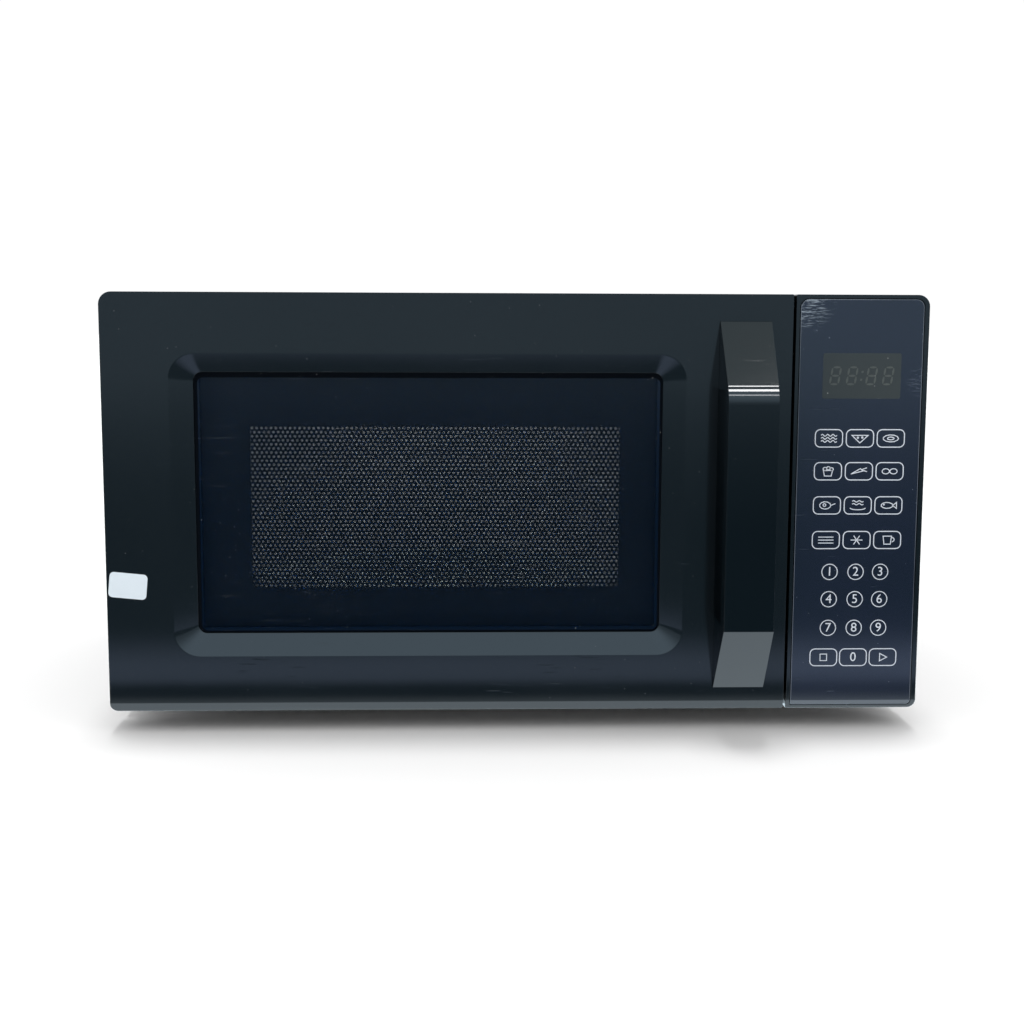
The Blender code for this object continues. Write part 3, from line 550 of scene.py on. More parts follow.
# %% [markdown]
# ## Shared surface effects
# Used gloss plastic is never clean. It carries specks of dust, hair-thin scratches and a faint waviness
# from the mould, and enamel has the same waviness, coarser. Each effect is a node group with its own
# inputs, built once and placed in every material with other values. They read Object coordinates, so the
# marks stay on the oven when it turns.


# %% Effect groups
def effect_group(name, inputs, outputs):
    group = bpy.data.node_groups.new(name, "ShaderNodeTree")
    for label, value in inputs.items():
        socket = group.interface.new_socket(label, in_out="INPUT", socket_type="NodeSocketFloat")
        socket.default_value = value
    for label in outputs:
        group.interface.new_socket(label, in_out="OUTPUT", socket_type="NodeSocketFloat")
    return group, group.nodes.new("NodeGroupInput"), group.nodes.new("NodeGroupOutput")


def dust_group():
    group, given, out = effect_group("dust_specks", {"Size": 1.0, "Amount": 0.5}, ["Mask"])
    spot = own_space(group)
    scale = maths(group, "DIVIDE", 420.0, given.outputs["Size"])
    cells = add(group, "ShaderNodeTexVoronoi", Vector=spot, Scale=scale, Randomness=1.0)
    speck = ramp(group, cells.outputs["Distance"], 0.07, 0.16, 1.0, 0.0)
    chosen = add(group, "ShaderNodeSeparateColor", Color=cells.outputs["Color"]).outputs["Red"]
    few = maths(group, "LESS_THAN", chosen, times(group, given.outputs["Amount"], 0.25))
    cloud = noise(group, spot, 14.0, 4.0)
    patches = ramp(group, cloud, 0.42, 0.68, 0.15, 1.0)
    mask = times(group, times(group, speck, few), patches)
    group.links.new(mask, out.inputs["Mask"])
    return group


def scratch_group():
    group, given, out = effect_group("fine_scratches", {"Amount": 0.5, "Turn": 0.6}, ["Mask", "Height"])
    spot = own_space(group)
    angle = add(group, "ShaderNodeCombineXYZ", Y=given.outputs["Turn"])
    total = None
    for turn, long, across in ((0.0, 38.0, 1100.0), (1.9, 50.0, 900.0)):
        lean = add(group, "ShaderNodeVectorMath", operation="ADD")
        group.links.new(angle.outputs[0], lean.inputs[0])
        lean.inputs[1].default_value = (0, turn, 0)
        turned = add(group, "ShaderNodeMapping", Vector=spot, Rotation=lean.outputs[0])
        turned.inputs["Scale"].default_value = (long, long, across)
        line = ramp(group, noise(group, turned.outputs[0], 1.0, 1.0), 0.70, 0.78)
        total = line if total is None else maths(group, "MAXIMUM", total, line)
    cloud = noise(group, spot, 22.0, 2.0)
    there = ramp(group, cloud, 0.50, 0.62)
    mask = times(group, times(group, total, there), given.outputs["Amount"])
    group.links.new(mask, out.inputs["Mask"])
    group.links.new(times(group, mask, -1.0), out.inputs["Height"])
    return group


def wave_group():
    group, given, out = effect_group("surface_waves", {"Size": 1.0, "Detail": 2.0}, ["Height", "Tone"])
    spot = own_space(group)
    scale = maths(group, "DIVIDE", 1000.0, given.outputs["Size"])
    group.links.new(noise(group, spot, scale, given.outputs["Detail"]), out.inputs["Height"])
    group.links.new(noise(group, spot, 9.0, 3.0), out.inputs["Tone"])
    return group


def wear_group():
    group, given, out = effect_group("edge_wear", {"Amount": 0.5}, ["Mask"])
    spot = own_space(group)
    ridge = add(group, "ShaderNodeNewGeometry").outputs["Pointiness"]
    edge = ramp(group, ridge, 0.53, 0.62)
    rub = noise(group, spot, 60.0, 5.0)
    broken = ramp(group, rub, 0.40, 0.60)
    mask = times(group, times(group, edge, broken), given.outputs["Amount"])
    group.links.new(mask, out.inputs["Mask"])
    return group


EFFECTS = {"dust": dust_group(), "scratches": scratch_group(), "waves": wave_group(), "wear": wear_group()}
print("effects:", ", ".join(EFFECTS))


# %% [markdown]
# ## One recipe for most finishes
# Gloss plastic, paint, enamel, nylon and zinc differ in colour, roughness and how wavy or scratched they
# are, and hardly at all in how their nodes are joined. So one recipe builds them all from values. Dust and
# wear change the colour, scratches change the roughness, and the waves bend the light a little.


# %% The finish recipe
def effect(tree, key, **values):
    """Places a shared effect in a material, with its own values."""
    node = tree.nodes.new("ShaderNodeGroup")
    node.node_tree = EFFECTS[key]
    for label, value in values.items():
        node.inputs[label].default_value = value
    return node.outputs


def finish(name, colour, roughness, metallic=0.0, alpha=1.0, gloss=0.5, dust=0.3, speck=1.0, scratched=0.3,
           wave=2.0, wave_depth=0.02, wear=0.0, worn=(0.5, 0.5, 0.5), drift=0.15, dusty=(0.45, 0.46, 0.45)):
    made, tree, shader = new_material(name)
    waves = effect(tree, "waves", Size=wave)
    specks = effect(tree, "dust", Size=speck, Amount=dust)["Mask"]
    hairs = effect(tree, "scratches", Amount=scratched)
    tone = ramp(tree, waves["Tone"], 0.3, 0.7, 1.0 - drift, 1.0 + drift)
    base = shaded(tree, colour, tone)
    if wear:
        base = blend_colour(tree, effect(tree, "wear", Amount=wear)["Mask"], base, worn)
    base = blend_colour(tree, specks, base, dusty)
    rough = times(tree, tone, roughness)
    rough = maths(tree, "ADD", rough, times(tree, hairs["Mask"], 0.35))
    rough = maths(tree, "ADD", rough, times(tree, specks, 0.4), clamp=True)
    lift = maths(tree, "ADD", waves["Height"], times(tree, hairs["Height"], 0.6))
    bump = add(tree, "ShaderNodeBump", Height=lift, Strength=1.0, Distance=wave_depth * MM)
    plug(shader, Base_Color=base, Roughness=rough, Normal=bump.outputs[0], Metallic=metallic, Alpha=alpha,
         Specular_IOR_Level=gloss)
    return made


print("recipe ready")

# %% [markdown]
# ## Plastics, paints and metals
# The door, the handle and the panel's frame are the same black gloss ABS. The handle is moulded smoother,
# the cabinet is powder coated with a coarser skin, and the hidden steel is zinc plated. Each name below,
# but the painted shade, is what a maker would write on the drawing.

# %% The finishes
gloss_black = finish("gloss_black_abs", (0.0042, 0.0050, 0.0060), 0.10, wave=40, wave_depth=0.05, dust=0.15,
                     scratched=0.5, dusty=(0.10, 0.105, 0.11))
handle_black = finish("handle_gloss_black", (0.0010, 0.0014, 0.0020), 0.075, gloss=0.42, wave=30,
                      wave_depth=0.01, dust=0.05, scratched=0.12, drift=0.04, dusty=(0.06, 0.065, 0.07))
powder_black = finish("cabinet_powder_coat", (0.018, 0.019, 0.021), 0.42, wave=2.2, wave_depth=0.12, dust=0.2,
                      scratched=0.4, wear=0.3, worn=(0.2, 0.2, 0.2))
enamel = finish("cavity_enamel", (0.50, 0.515, 0.52), 0.32, wave=1.6, wave_depth=0.06, dust=0.1, drift=0.04,
                dusty=(0.3, 0.27, 0.22))
zinc = finish("zinc_plate", (0.56, 0.57, 0.58), 0.34, metallic=1.0, wave=1.2, wave_depth=0.03, dust=0.2,
              drift=0.12)
matte_black = finish("matte_black_plastic", (0.02, 0.02, 0.021), 0.5, wave=0.8, wave_depth=0.05, dust=0.4)
choke_black = finish("choke_cover_plastic", (0.035, 0.036, 0.039), 0.38, wave=1.2, wave_depth=0.05)
screen_black = finish("screen_black_paint", (0.012, 0.013, 0.015), 0.38, wave=1.5, wave_depth=0.03, dust=0.1,
                      scratched=0.1)
# A dull blue-black that paints shade. It dresses the ring round the window and the strip behind the seam.
shade_black = finish("painted_shade_black", (0.0006, 0.0014, 0.0030), 0.6, gloss=0.06, wave=0.8, wave_depth=0.05, drift=0.1)
rubber = finish("foot_rubber", (0.015, 0.015, 0.015), 0.75, wave=0.7, wave_depth=0.08, dust=0.8)
nylon = finish("natural_nylon", (0.72, 0.71, 0.66), 0.42, wave=1.5, wave_depth=0.04, dust=0.1, drift=0.05)
bare_aluminium = finish("bare_aluminium", (0.66, 0.67, 0.68), 0.36, metallic=1.0, wave=0.9, wave_depth=0.03)
copper = finish("lacquered_copper", (0.45, 0.16, 0.06), 0.35, metallic=0.8, wave=0.6, wave_depth=0.08)
core_steel = finish("core_laminations", (0.16, 0.16, 0.17), 0.5, metallic=0.7, wave=0.5, wave_depth=0.08)
board = finish("circuit_board", (0.02, 0.12, 0.05), 0.38, wave=1.0, wave_depth=0.02)
mica = finish("mica_sheet", (0.50, 0.44, 0.34), 0.55, wave=3.0, wave_depth=0.08, drift=0.3)
ink = finish("white_key_ink", (0.62, 0.66, 0.72), 0.45, wave=0.6, wave_depth=0.01, dust=0.05, scratched=0.8,
             drift=0.12)
label_paper = finish("label_paper", (0.72, 0.80, 0.86), 0.5, wave=3.0, wave_depth=0.05, dust=0.1, drift=0.05)
print(len(bpy.data.materials), "materials")

# %% [markdown]
# ## The door moulding
# The door's front is one glossy shell with a sloped frame around its window. On the real oven it is
# injection moulded, with all walls about 2.5 mm thick. It could be carved from a block, but bridging
# rounded sections in order, round the rim and back inside, gives true arcs and an even wall. The bottom
# strip is then folded back, and the rounded edges come last.

# %% Door shell
rim = (door_low.x, door_low.z, door_high.x, door_high.z)
rim_corners = (0.8, 7.0, 4.0, 0.8)
inner_corners = (1.0, 4.5, 2.0, 1.0)
door_sections = [
    (rim, rim_corners, DOOR_BACK),
    (rim, rim_corners, FACE),
    (RECESS_EDGE, 14.5, FACE),
    (WINDOW_HOLE, 5, FACE + 6),
    (WINDOW_HOLE, 5, FACE + 8.5),
    (grown(WINDOW_HOLE, 8), 8, FACE + 8.5),
    (grown(RECESS_EDGE, 4.5), 17, FACE + 2.5),
    (grown(rim, -2.5), inner_corners, FACE + 2.5),
    (grown(rim, -2.5), inner_corners, DOOR_BACK),
]
door_shell = fold_bottom(moulding("door_shell", door_sections, closed=True))
soften(door_shell, 0.6, segments=4, above=18)
hinge_low = box_mm("hinge_plate_upper")[0]
PIN_IN = 4.5
hinge_x, hinge_y = hinge_low.x + PIN_IN, hinge_low.y + PIN_IN
skirt_room = ((door_low.x - 2, hinge_y + 7.0, 0), (hinge_x + 7, DOOR_BACK + 5, 260))
cut(door_shell, block("skirt_room", *skirt_room))
for low in (238.5, 15.5):
    arm_room = ((door_low.x - 2, hinge_y - 8.5, low), (door_low.x + 3.5, hinge_y + 12, low + 6))
    cut(door_shell, block("arm_room", *arm_room))
smooth(door_shell, 25)
fit_out(door_shell, gloss_black, "door", "gloss_black_plastic", "door_frame")

# %% [markdown]
# ## Painted shade behind the seam
# A black strip of painted shade lies on the front plate behind the seam between door and panel, so the seam
# reads dark and no light enamel shows through it. It is thinner than the space behind the closed door.

# %% Seam shade strip
plate_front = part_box("cavity_front_plate")[0].y / MM
# A dark strip that paints the shade inside the seam.
seam_shade = block("seam_shade_strip", (door_high.x - 3.5, plate_front - 0.45, door_low.z + 1.2),
             (panel_low.x - 0.1, plate_front - 0.05, door_high.z - 3.2))
smooth(soften(seam_shade, 0.15, 2))
fit_out(seam_shade, shade_black, "oven_body", "black_plastic")

# %% [markdown]
# ## Bosses for the hinge pins
# Two blocks inside the shell hold the pins. They show only from the hinge side, when the door opens.

# %% Hinge bosses
for name, low, high in (("hinge_boss_upper", 223.3, 236.7), ("hinge_boss_lower", 22.3, 35.7)):
    boss = block(name, (door_low.x + 2.7, FACE + 3.0, low), (hinge_x + 5.5, hinge_y + 6.0, high))
    cut(boss, rod(3.4, 30, (hinge_x, hinge_y, (low + high) / 2)))
    smooth(soften(boss, 0.4, 2))
    fit_out(boss, matte_black, "door", "gloss_black_plastic")

# %% [markdown]
# ## The window
# The window is a sheet of tinted glass with a black border printed on its back, which hides the clips and
# the edge of the screen. One material can hold both: the tint lets some of the view through, and a
# rounded mask in the glass's own plane turns it opaque towards the rim. Alpha is used and not refraction,
# because a flat sheet this thin bends nothing that shows, and it keeps the screen behind it free of noise.


# %% Smoked glass
def smoked_glass(rect, border, clear, rim_alpha):
    made, tree, shader = new_material("smoked_window_glass")
    axes = add(tree, "ShaderNodeSeparateXYZ", Vector=own_space(tree)).outputs
    edges = []
    for axis, low, high in (("X", rect[0], rect[2]), ("Z", rect[1], rect[3])):
        centre, half = (low + high) / 2 * MM, (high - low) / 2 * MM
        off = maths(tree, "ABSOLUTE", maths(tree, "SUBTRACT", axes[axis], centre))
        edges.append(maths(tree, "SUBTRACT", off, half - border * MM))
    inside = maths(tree, "MAXIMUM", *edges)
    rim_mask = ramp(tree, inside, -0.0004, 0.0002)
    specks = effect(tree, "dust", Size=1.1, Amount=0.8)["Mask"]
    hairs = effect(tree, "scratches", Amount=0.35)["Mask"]
    seen = ramp(tree, rim_mask, 0.0, 1.0, clear, rim_alpha)
    marks = maths(tree, "MAXIMUM", specks, times(tree, hairs, 0.3))
    # The blue in the tint and in the printed border is partly the glass's own colour and partly a painted
    # reflection of blue surroundings.
    colour = blend_colour(tree, rim_mask, (0.0006, 0.0034, 0.0135), (0.0003, 0.0032, 0.0150))
    colour = blend_colour(tree, marks, colour, (0.32, 0.36, 0.38))
    plug(shader, Base_Color=colour, Roughness=ramp(tree, marks, 0.0, 1.0, 0.03, 0.5),
         Alpha=maths(tree, "MAXIMUM", seen, marks), Specular_IOR_Level=0.35)
    return made


dress("door_window", smoked_glass(WINDOW_HOLE, 2.6, 0.42, 0.96))

# A dark ring round the window's hole paints the shade where the glass meets the shell. It is widest at the
# top and narrowest at the bottom, as the shade falls.
shade_outer, shade_inner = grown(WINDOW_HOLE, -0.1), (-178.6, 56.9, 80.9, 200.9)
shade_ring_sections = [
    (shade_outer, 4.9, FACE + 7.2),
    (shade_inner, 3.5, FACE + 7.9),
    (shade_inner, 3.5, FACE + 8.7),
    (shade_outer, 4.9, FACE + 8.7),
]
shade_ring = smooth(moulding("window_shade_ring", shade_ring_sections, closed=True), 25)
fit_out(shade_ring, shade_black, "door", "gloss_black_plastic")

clear_film = finish("clear_inner_film", (0.25, 0.27, 0.3), 0.12, alpha=0.10, wave=6, dust=0.2)
dress("door_inner_window", clear_film)
dress("door_choke_cover", choke_black)
print("window glazed")

# %% [markdown]
# ## The perforated screen
# Behind the glass sits a black painted steel pan whose middle is pierced with thousands of small holes:
# light gets out, microwaves don't. One cell of the pattern is a square with an eight-sided hole, made by
# bevelling the middle vertex of a subdivided plane. An Array makes a row, a half-shifted second row makes
# the stagger, and another Array fills the field. Solidify then gives the sheet its thickness.

# %% Screen mesh
screen_low, screen_high = box_mm("door_screen_panel")
PITCH, ROW = 2.70, 2.336
FIELD = (-153.2, 79.2)
COLUMNS, PAIRS = 79, 20
sheet_y = screen_low.y + 9.0
let_go()
cell_place = Vector((FIELD[0] + PITCH / 2, sheet_y, FIELD[1] + ROW / 2)) * MM
bpy.ops.mesh.primitive_plane_add(size=1, location=cell_place, rotation=UPRIGHT)
cell = bpy.context.object
cell.scale = (PITCH * MM, ROW * MM, 1)
settle(cell)
edit(cell, "FACE", "SELECT")
bpy.ops.mesh.subdivide(number_cuts=1)
bpy.ops.mesh.select_mode(type="VERT")
middle = cell_place / MM
pick(cell, lambda p, v: (p - middle).length < 0.01)
bevel(0.80, 2, affect="VERTICES", profile=0.086)
bpy.ops.mesh.select_mode(type="FACE")
print(pick(cell, lambda p, f: (p - middle).length < 0.6), "faces fill the hole and are removed")
bpy.ops.mesh.delete(type="FACE")
done()
row_of(cell, COLUMNS, (PITCH, 0, 0))
shifted = copy_to(cell, (PITCH / 2, 0, ROW), "screen_row")
screen_mesh = joined("screen_mesh", cell, shifted)
row_of(screen_mesh, PAIRS, (0, 0, 2 * ROW))
edit(screen_mesh, "VERT", "SELECT")
bpy.ops.mesh.remove_doubles(threshold=0.00002)
done()
apply_step(screen_mesh, "SOLIDIFY", thickness=0.4 * MM, offset=-1)
fit_out(screen_mesh, screen_black, "door", "screen_black_steel")
field_right = FIELD[0] + PITCH * (COLUMNS + 0.5)
field_top = FIELD[1] + ROW * 2 * PAIRS
print("screen field", FIELD, "to", round(field_right, 1), round(field_top, 1))

# %% Screen pan
STEEL = 0.8
channel = (screen_low.x, screen_low.z, screen_high.x, screen_high.z)
plateau = grown(channel, -11.5)
opening = (FIELD[0] + 1.7, FIELD[1] + 0.4, field_right - 1.7, field_top - 0.4)
pan_sections = [
    (opening, 0.6, sheet_y - 0.5),
    (plateau, 6, sheet_y - 0.5),
    (plateau, 6, screen_low.y + 0.2),
    (channel, 6, screen_low.y + 0.2),
    (channel, 6, screen_high.y),
    (grown(channel, -STEEL), 6 - STEEL, screen_high.y),
    (grown(channel, -STEEL), 6 - STEEL, screen_low.y + 1.0),
    (grown(plateau, -STEEL), 6 - STEEL, screen_low.y + 1.0),
    (grown(plateau, -STEEL), 6 - STEEL, sheet_y + 0.2),
    (opening, 0.6, sheet_y + 0.2),
]
screen_pan = moulding("screen_pan", pan_sections, closed=True)
smooth(soften(screen_pan, 0.3, 2))
fit_out(screen_pan, screen_black, "door", "screen_black_steel", "door_screen_panel")

# %% [markdown]
# ## The pull handle
# A straight grip stands on two wedge-shaped feet. The upper bend is a broad soft curve that catches the
# ceiling light, and the lower one is crisp. It is carved from a block: cross cuts mark the bends, the
# outer corners are pulled back to the door, and the finger space is pushed out of the rear faces. Last,
# every vertex moves a little towards the middle with its distance from the door, as mould draft does.

# %% Handle
grab_low, grab_high = box_mm("door_handle")
GRIP = grab_low.y + 9.5
LOW_BEND, BEND = 64.1, 194.4
SPACE = (66.0, 196.0)
handle = block("pull_handle", (grab_low.x, grab_low.y + 0.01, grab_low.z), grab_high)
edit(handle)
slice_at(LOW_BEND, BEND)
bpy.ops.mesh.select_mode(type="EDGE")
for end in (grab_low.z, grab_high.z):
    pick(handle, lambda p, e: abs(p.z - end) < 0.01 and p.y < grab_low.y + 0.02)
    bpy.ops.transform.translate(value=(0, (grab_high.y - grab_low.y - 0.6) * MM, 0))
pick(handle, lambda p, e: abs(p.z - BEND) < 0.01 and p.y < grab_low.y + 0.02)
bevel(5.8, 16)
slice_at(*SPACE)
bpy.ops.mesh.select_mode(type="FACE")
pick(handle, lambda p, f: p.y > grab_high.y - 0.01 and SPACE[0] < p.z < SPACE[1])
pull(0, GRIP - grab_high.y, 0)
bpy.ops.mesh.select_mode(type="EDGE")
pick(handle, lambda p, e: abs(p.y - GRIP) < 0.01 and not SPACE[0] + 0.1 <= p.z <= SPACE[1] - 0.1)
bevel(3.0, 5)
face_out()
done()
soften(handle, 0.6, segments=3, above=22)
grab_middle = (grab_low.x + grab_high.x) / 2 * MM
for vert in handle.data.vertices:
    reach = (grab_high.y * MM - vert.co.y) / (grab_high.y - grab_low.y) / MM
    vert.co.x = grab_middle + (vert.co.x - grab_middle) * (1 - 0.05 * reach) - 0.7 * MM * reach
smooth(handle, 28)
fit_out(handle, handle_black, "door", "gloss_black_plastic", "door_handle")
ceiling_lit.objects.link(handle)

# %% [markdown]
# ## The control panel
# The panel is a second glossy moulding beside the door, with a shallow bed into which a printed film is
# glued. The film runs over the folded bottom edge. Everything on it, from the display window to the last
# key, is ink or a window in that one film, so the keys have no gaps around them.

# %% Panel housing and film
edge = (panel_low.x, panel_low.z, panel_high.x, panel_high.z)
bed = (edge[0] + 2.2, edge[1] + 2.0, edge[2] - 2.8, edge[3] - 2.2)
bed_corners = (4.5, 5.4, 1.2, 2.5)
edge_corners = (6.5, 0.8, 0.8, 4.0)
core_corners = (4.5, 1.0, 1.0, 2.0)
panel_sections = [
    (bed, bed_corners, FACE + 0.9),
    (bed, bed_corners, FACE),
    (edge, edge_corners, FACE),
    (edge, edge_corners, panel_high.y),
    (grown(edge, -2.5), core_corners, panel_high.y),
    (grown(edge, -2.5), core_corners, FACE + 3.4),
]
panel_shell = fold_bottom(moulding("panel_shell", panel_sections, closed=False))
smooth(soften(panel_shell, 0.5, segments=4, above=18), 25)
fit_out(panel_shell, gloss_black, "oven_body", "gloss_black_plastic", "control_panel_housing")

film_corners = (4.2, 5.1, 0.9, 2.2)
film = fold_bottom(thicken(rounded_panel("keypad_film", PANEL_FILM, film_corners, FACE + 0.1), 0.5))
smooth(soften(film, 0.12, 2), 25)


def scuffed(made, corner, reach, amount, colour):
    """Adds torn, whitish scratches round one point, given in millimetres, to a finish."""
    tree = made.node_tree
    shader = tree.nodes["Principled BSDF"]
    spot = own_space(tree)
    away = add(tree, "ShaderNodeVectorMath", operation="DISTANCE", Vector=spot)
    away.inputs[1].default_value = Vector(corner) * MM
    near = ramp(tree, away.outputs["Value"], reach * MM, reach * 0.2 * MM, smooth_step=True)
    lean = add(tree, "ShaderNodeMapping", Vector=spot, Rotation=(0, 0.7, 0), Scale=(240, 240, 1500))
    torn = ramp(tree, noise(tree, lean.outputs[0], 1.0, 6.0), 0.50, 0.62)
    mask = times(tree, times(tree, near, torn), amount)
    before = shader.inputs["Base Color"].links[0].from_socket
    tree.links.new(blend_colour(tree, mask, before, colour), shader.inputs["Base Color"])
    return made


film_blue = finish("keypad_film", (0.0045, 0.0042, 0.016), 0.14, gloss=0.82, wave=18, wave_depth=0.02,
                   dust=0.15, scratched=0.8, dusty=(0.16, 0.19, 0.24))
scuffed(film_blue, (PANEL_FILM[0] + 1, FACE, PANEL_FILM[3] - 1), 21, 0.7, (0.34, 0.40, 0.46))
scuffed(film_blue, (PANEL_FILM[2], FACE, 200), 11, 0.3, (0.16, 0.19, 0.24))
fit_out(film, film_blue, "oven_body", "keypad_film", "keypad_overlay")

# %% [markdown]
# ## Printing the keypad
# Ink is a very thin raised layer on the film. One key outline is modelled as a rounded panel with its
# inside inset and removed, then copied to every place in the grid. The number keys are rings with digits
# from Blender's own font. The real keys name dishes in words; here each carries a small drawing, built
# from a few strokes, so that it reads in any language.

# %% Ink outlines
INK_Y = FACE + 0.06
COLUMNS_X = (175.3, 192.9, 210.4)
PROGRAM_Z = (167.9, 149.3, 129.9, 110.1)
NUMBER_X = (178.0, 192.9, 207.0)
NUMBER_Z = (91.8, 76.0, 59.4)
BOTTOM_X, BOTTOM_Z = (175.9, 193.0, 210.1), 42.2


def outline(name, rect, radius, line):
    ring = rounded_panel(name, rect, radius, INK_Y, steps=6)
    edit(ring, "FACE", "SELECT")
    bpy.ops.mesh.inset(thickness=line * MM, depth=0)
    bpy.ops.mesh.delete(type="FACE")
    done()
    return thicken(ring, 0.05)


key = outline("key_outline", (-8.0, -5.2, 8.0, 5.2), 3.1, 0.55)
circle = outline("number_ring", (-4.7, -4.7, 4.7, 4.7), 4.69, 0.5)
printed = [copy_to(key, (x, 0, z), "key") for z in PROGRAM_Z for x in COLUMNS_X]
printed += [copy_to(key, (x, 0, BOTTOM_Z), "key") for x in BOTTOM_X]
printed += [copy_to(circle, (x, 0, z), "ring") for z in NUMBER_Z for x in NUMBER_X]
bpy.data.objects.remove(key)
bpy.data.objects.remove(circle)
key_outlines = joined("key_outlines", *printed)
fit_out(key_outlines, ink, "oven_body", "keypad_film")


# %% Film edge
rim_line = fold_bottom(outline("film_edge", grown(PANEL_FILM, -0.15), film_corners, 0.28))
edge_light = finish("film_cut_edge", (0.115, 0.13, 0.155), 0.3, wave=8, wave_depth=0.01, drift=0.6, dust=0.1)
fit_out(rim_line, edge_light, "oven_body", "keypad_film")


# %% Digits
def digit(text, x, z, size):
    let_go()
    bpy.ops.object.text_add()
    made = bpy.context.object
    made.data.body = text
    made.data.size = size * MM
    made.data.align_x = "CENTER"
    made.data.align_y = "CENTER"
    made.data.extrude = 0.025 * MM
    take(made)
    bpy.ops.object.convert(target="MESH")
    made = bpy.context.object
    set_down(made, (x, INK_Y + 0.02, z), UPRIGHT)
    edit(made, "VERT", "SELECT")
    bpy.ops.mesh.remove_doubles(threshold=0.000001)
    face_out()
    done()
    return made


DIGIT = 7.4
numbers = [digit(str(row * 3 + col + 1), NUMBER_X[col], NUMBER_Z[row], DIGIT)
           for row in range(3) for col in range(3)]
numbers.append(digit("0", BOTTOM_X[1], BOTTOM_Z, DIGIT))
key_digits = joined("key_digits", *numbers)
fit_out(key_digits, ink, "oven_body", "keypad_film")


# %% Drawings for the program keys
def stroke(points, closed, width=0.55):
    """A printed line through points given in millimetres from a key's middle."""
    curve = bpy.data.curves.new("stroke", "CURVE")
    curve.dimensions = "2D"
    run = curve.splines.new("POLY")
    run.points.add(len(points) - 1)
    for point, (x, z) in zip(run.points, points):
        point.co = (x * MM, z * MM, 0, 1)
    run.use_cyclic_u = closed
    curve.fill_mode = "NONE"
    curve.bevel_depth = width / 2 * MM
    curve.bevel_resolution = 1
    curve.use_fill_caps = not closed
    made = bpy.data.objects.new("stroke", curve)
    bpy.context.scene.collection.objects.link(made)
    take(made)
    bpy.ops.object.convert(target="MESH")
    made = bpy.context.object
    made.scale = (1, 1, 0.1)
    return set_down(made, (0, INK_Y, 0), UPRIGHT)


def line(*points):
    return points, False


def loop(*points):
    return points, True


def arc(cx, cz, rx, rz, start, end, steps=10):
    turns = [math.radians(start + (end - start) * i / steps) for i in range(steps + 1)]
    return [(cx + rx * math.cos(t), cz + rz * math.sin(t)) for t in turns]


def wave(z, swing, x0=-4.5, x1=4.5, bends=3):
    steps = [i / 24 for i in range(25)]
    return line(*((x0 + (x1 - x0) * i, z + swing * math.sin(2 * math.pi * bends * i)) for i in steps))


def oval(cx, cz, rx, rz):
    return loop(*arc(cx, cz, rx, rz, 0, 330))


def dot(x, z, r):
    return loop(*arc(x, z, r, r, 0, 324, 9))


DRAWINGS = [
    [wave(1.7, 0.55), wave(0, 0.55), wave(-1.7, 0.55)],
    [loop((-4.6, 1.7), (4.6, 1.7), (0, -2.6)), dot(-1.2, 0.4, 0.4), dot(1.3, 0.5, 0.4)],
    [oval(0, 0, 4.4, 2.0), oval(0, 0, 1.9, 0.8)],
    [loop((-2.6, 0.4), (2.6, 0.4), (1.9, -2.7), (-1.9, -2.7)), oval(-1.7, 1.3, 1.1, 0.9),
     oval(0.2, 1.7, 1.1, 0.9), oval(2.0, 1.2, 1.0, 0.8)],
    [line((-4.6, -1.6), (0.8, 1.5), (2.4, 0.2), (-4.6, -1.6)), line((1.8, 1.0), (4.6, 2.0)),
     line((2.0, 0.6), (4.6, -0.2))],
    [oval(-2.2, 0, 2.1, 1.5), oval(2.2, 0, 2.1, 1.5)],
    [oval(-1.0, 0, 3.2, 2.1), line((2.2, 0), (4.8, 1.0)), dot(-1.4, 0.2, 0.8)],
    [line(*arc(0, -1.4, 4.4, 1.1, 180, 360)), wave(0.7, 0.4, -3.2, 3.2, 2),
     wave(2.3, 0.4, -3.2, 3.2, 2)],
    [oval(-0.8, 0, 3.4, 1.7), loop((2.4, 0), (4.6, 1.7), (4.6, -1.7)), dot(-2.6, 0.4, 0.25)],
    [line((-4.4, 1.7), (4.4, 1.7)), line((-4.4, 0), (4.4, 0)), line((-4.4, -1.7), (4.4, -1.7))],
    [line((-3.4, 0), (3.4, 0)), line((-1.7, 2.5), (1.7, -2.5)), line((-1.7, -2.5), (1.7, 2.5))],
    [loop((-2.4, 2.2), (-1.8, -2.4), (1.8, -2.4), (2.4, 2.2)), line(*arc(2.3, 0.2, 1.7, 1.3, -80, 80))],
]
STOP = loop((-1.9, 1.9), (1.9, 1.9), (1.9, -1.9), (-1.9, -1.9))
START = loop((-1.7, 2.2), (2.4, 0), (-1.7, -2.2))


def drawing(name, strokes, x, z):
    return set_down(joined(name, *(stroke(points, closed) for points, closed in strokes)), (x, 0, z))


drawn = []
for number, strokes in enumerate(DRAWINGS):
    drawn.append(drawing("drawing", strokes, COLUMNS_X[number % 3], PROGRAM_Z[number // 3]))
drawn.append(drawing("stop", [STOP], BOTTOM_X[0], BOTTOM_Z))
drawn.append(drawing("start", [START], BOTTOM_X[2], BOTTOM_Z))
key_drawings = joined("key_drawings", *drawn)
fit_out(key_drawings, ink, "oven_body", "keypad_film")

# %% [markdown]
# ## The display
# The display is a smoked window in the film with a clock behind it. When it is off its segments still show
# faintly, because their plastic is a little lighter than the mask. One segment is a hexagon drawn out to a
# bar; seven of them make an eight, four eights and a colon make the clock, and the whole leans forward.

# %% Display window
DISPLAY = (170.8, 190.2, 214.9, 215.6)
lens = smooth(soften(thicken(rounded_panel("display_lens", DISPLAY, 1.2, FACE + 0.02), 0.12), 0.04, 2))
smoke = finish("display_smoke", (0.030, 0.034, 0.033), 0.14, wave=9, wave_depth=0.02, dust=0.5, scratched=1.0,
               drift=0.25)
fit_out(lens, smoke, "oven_body", "display_black")

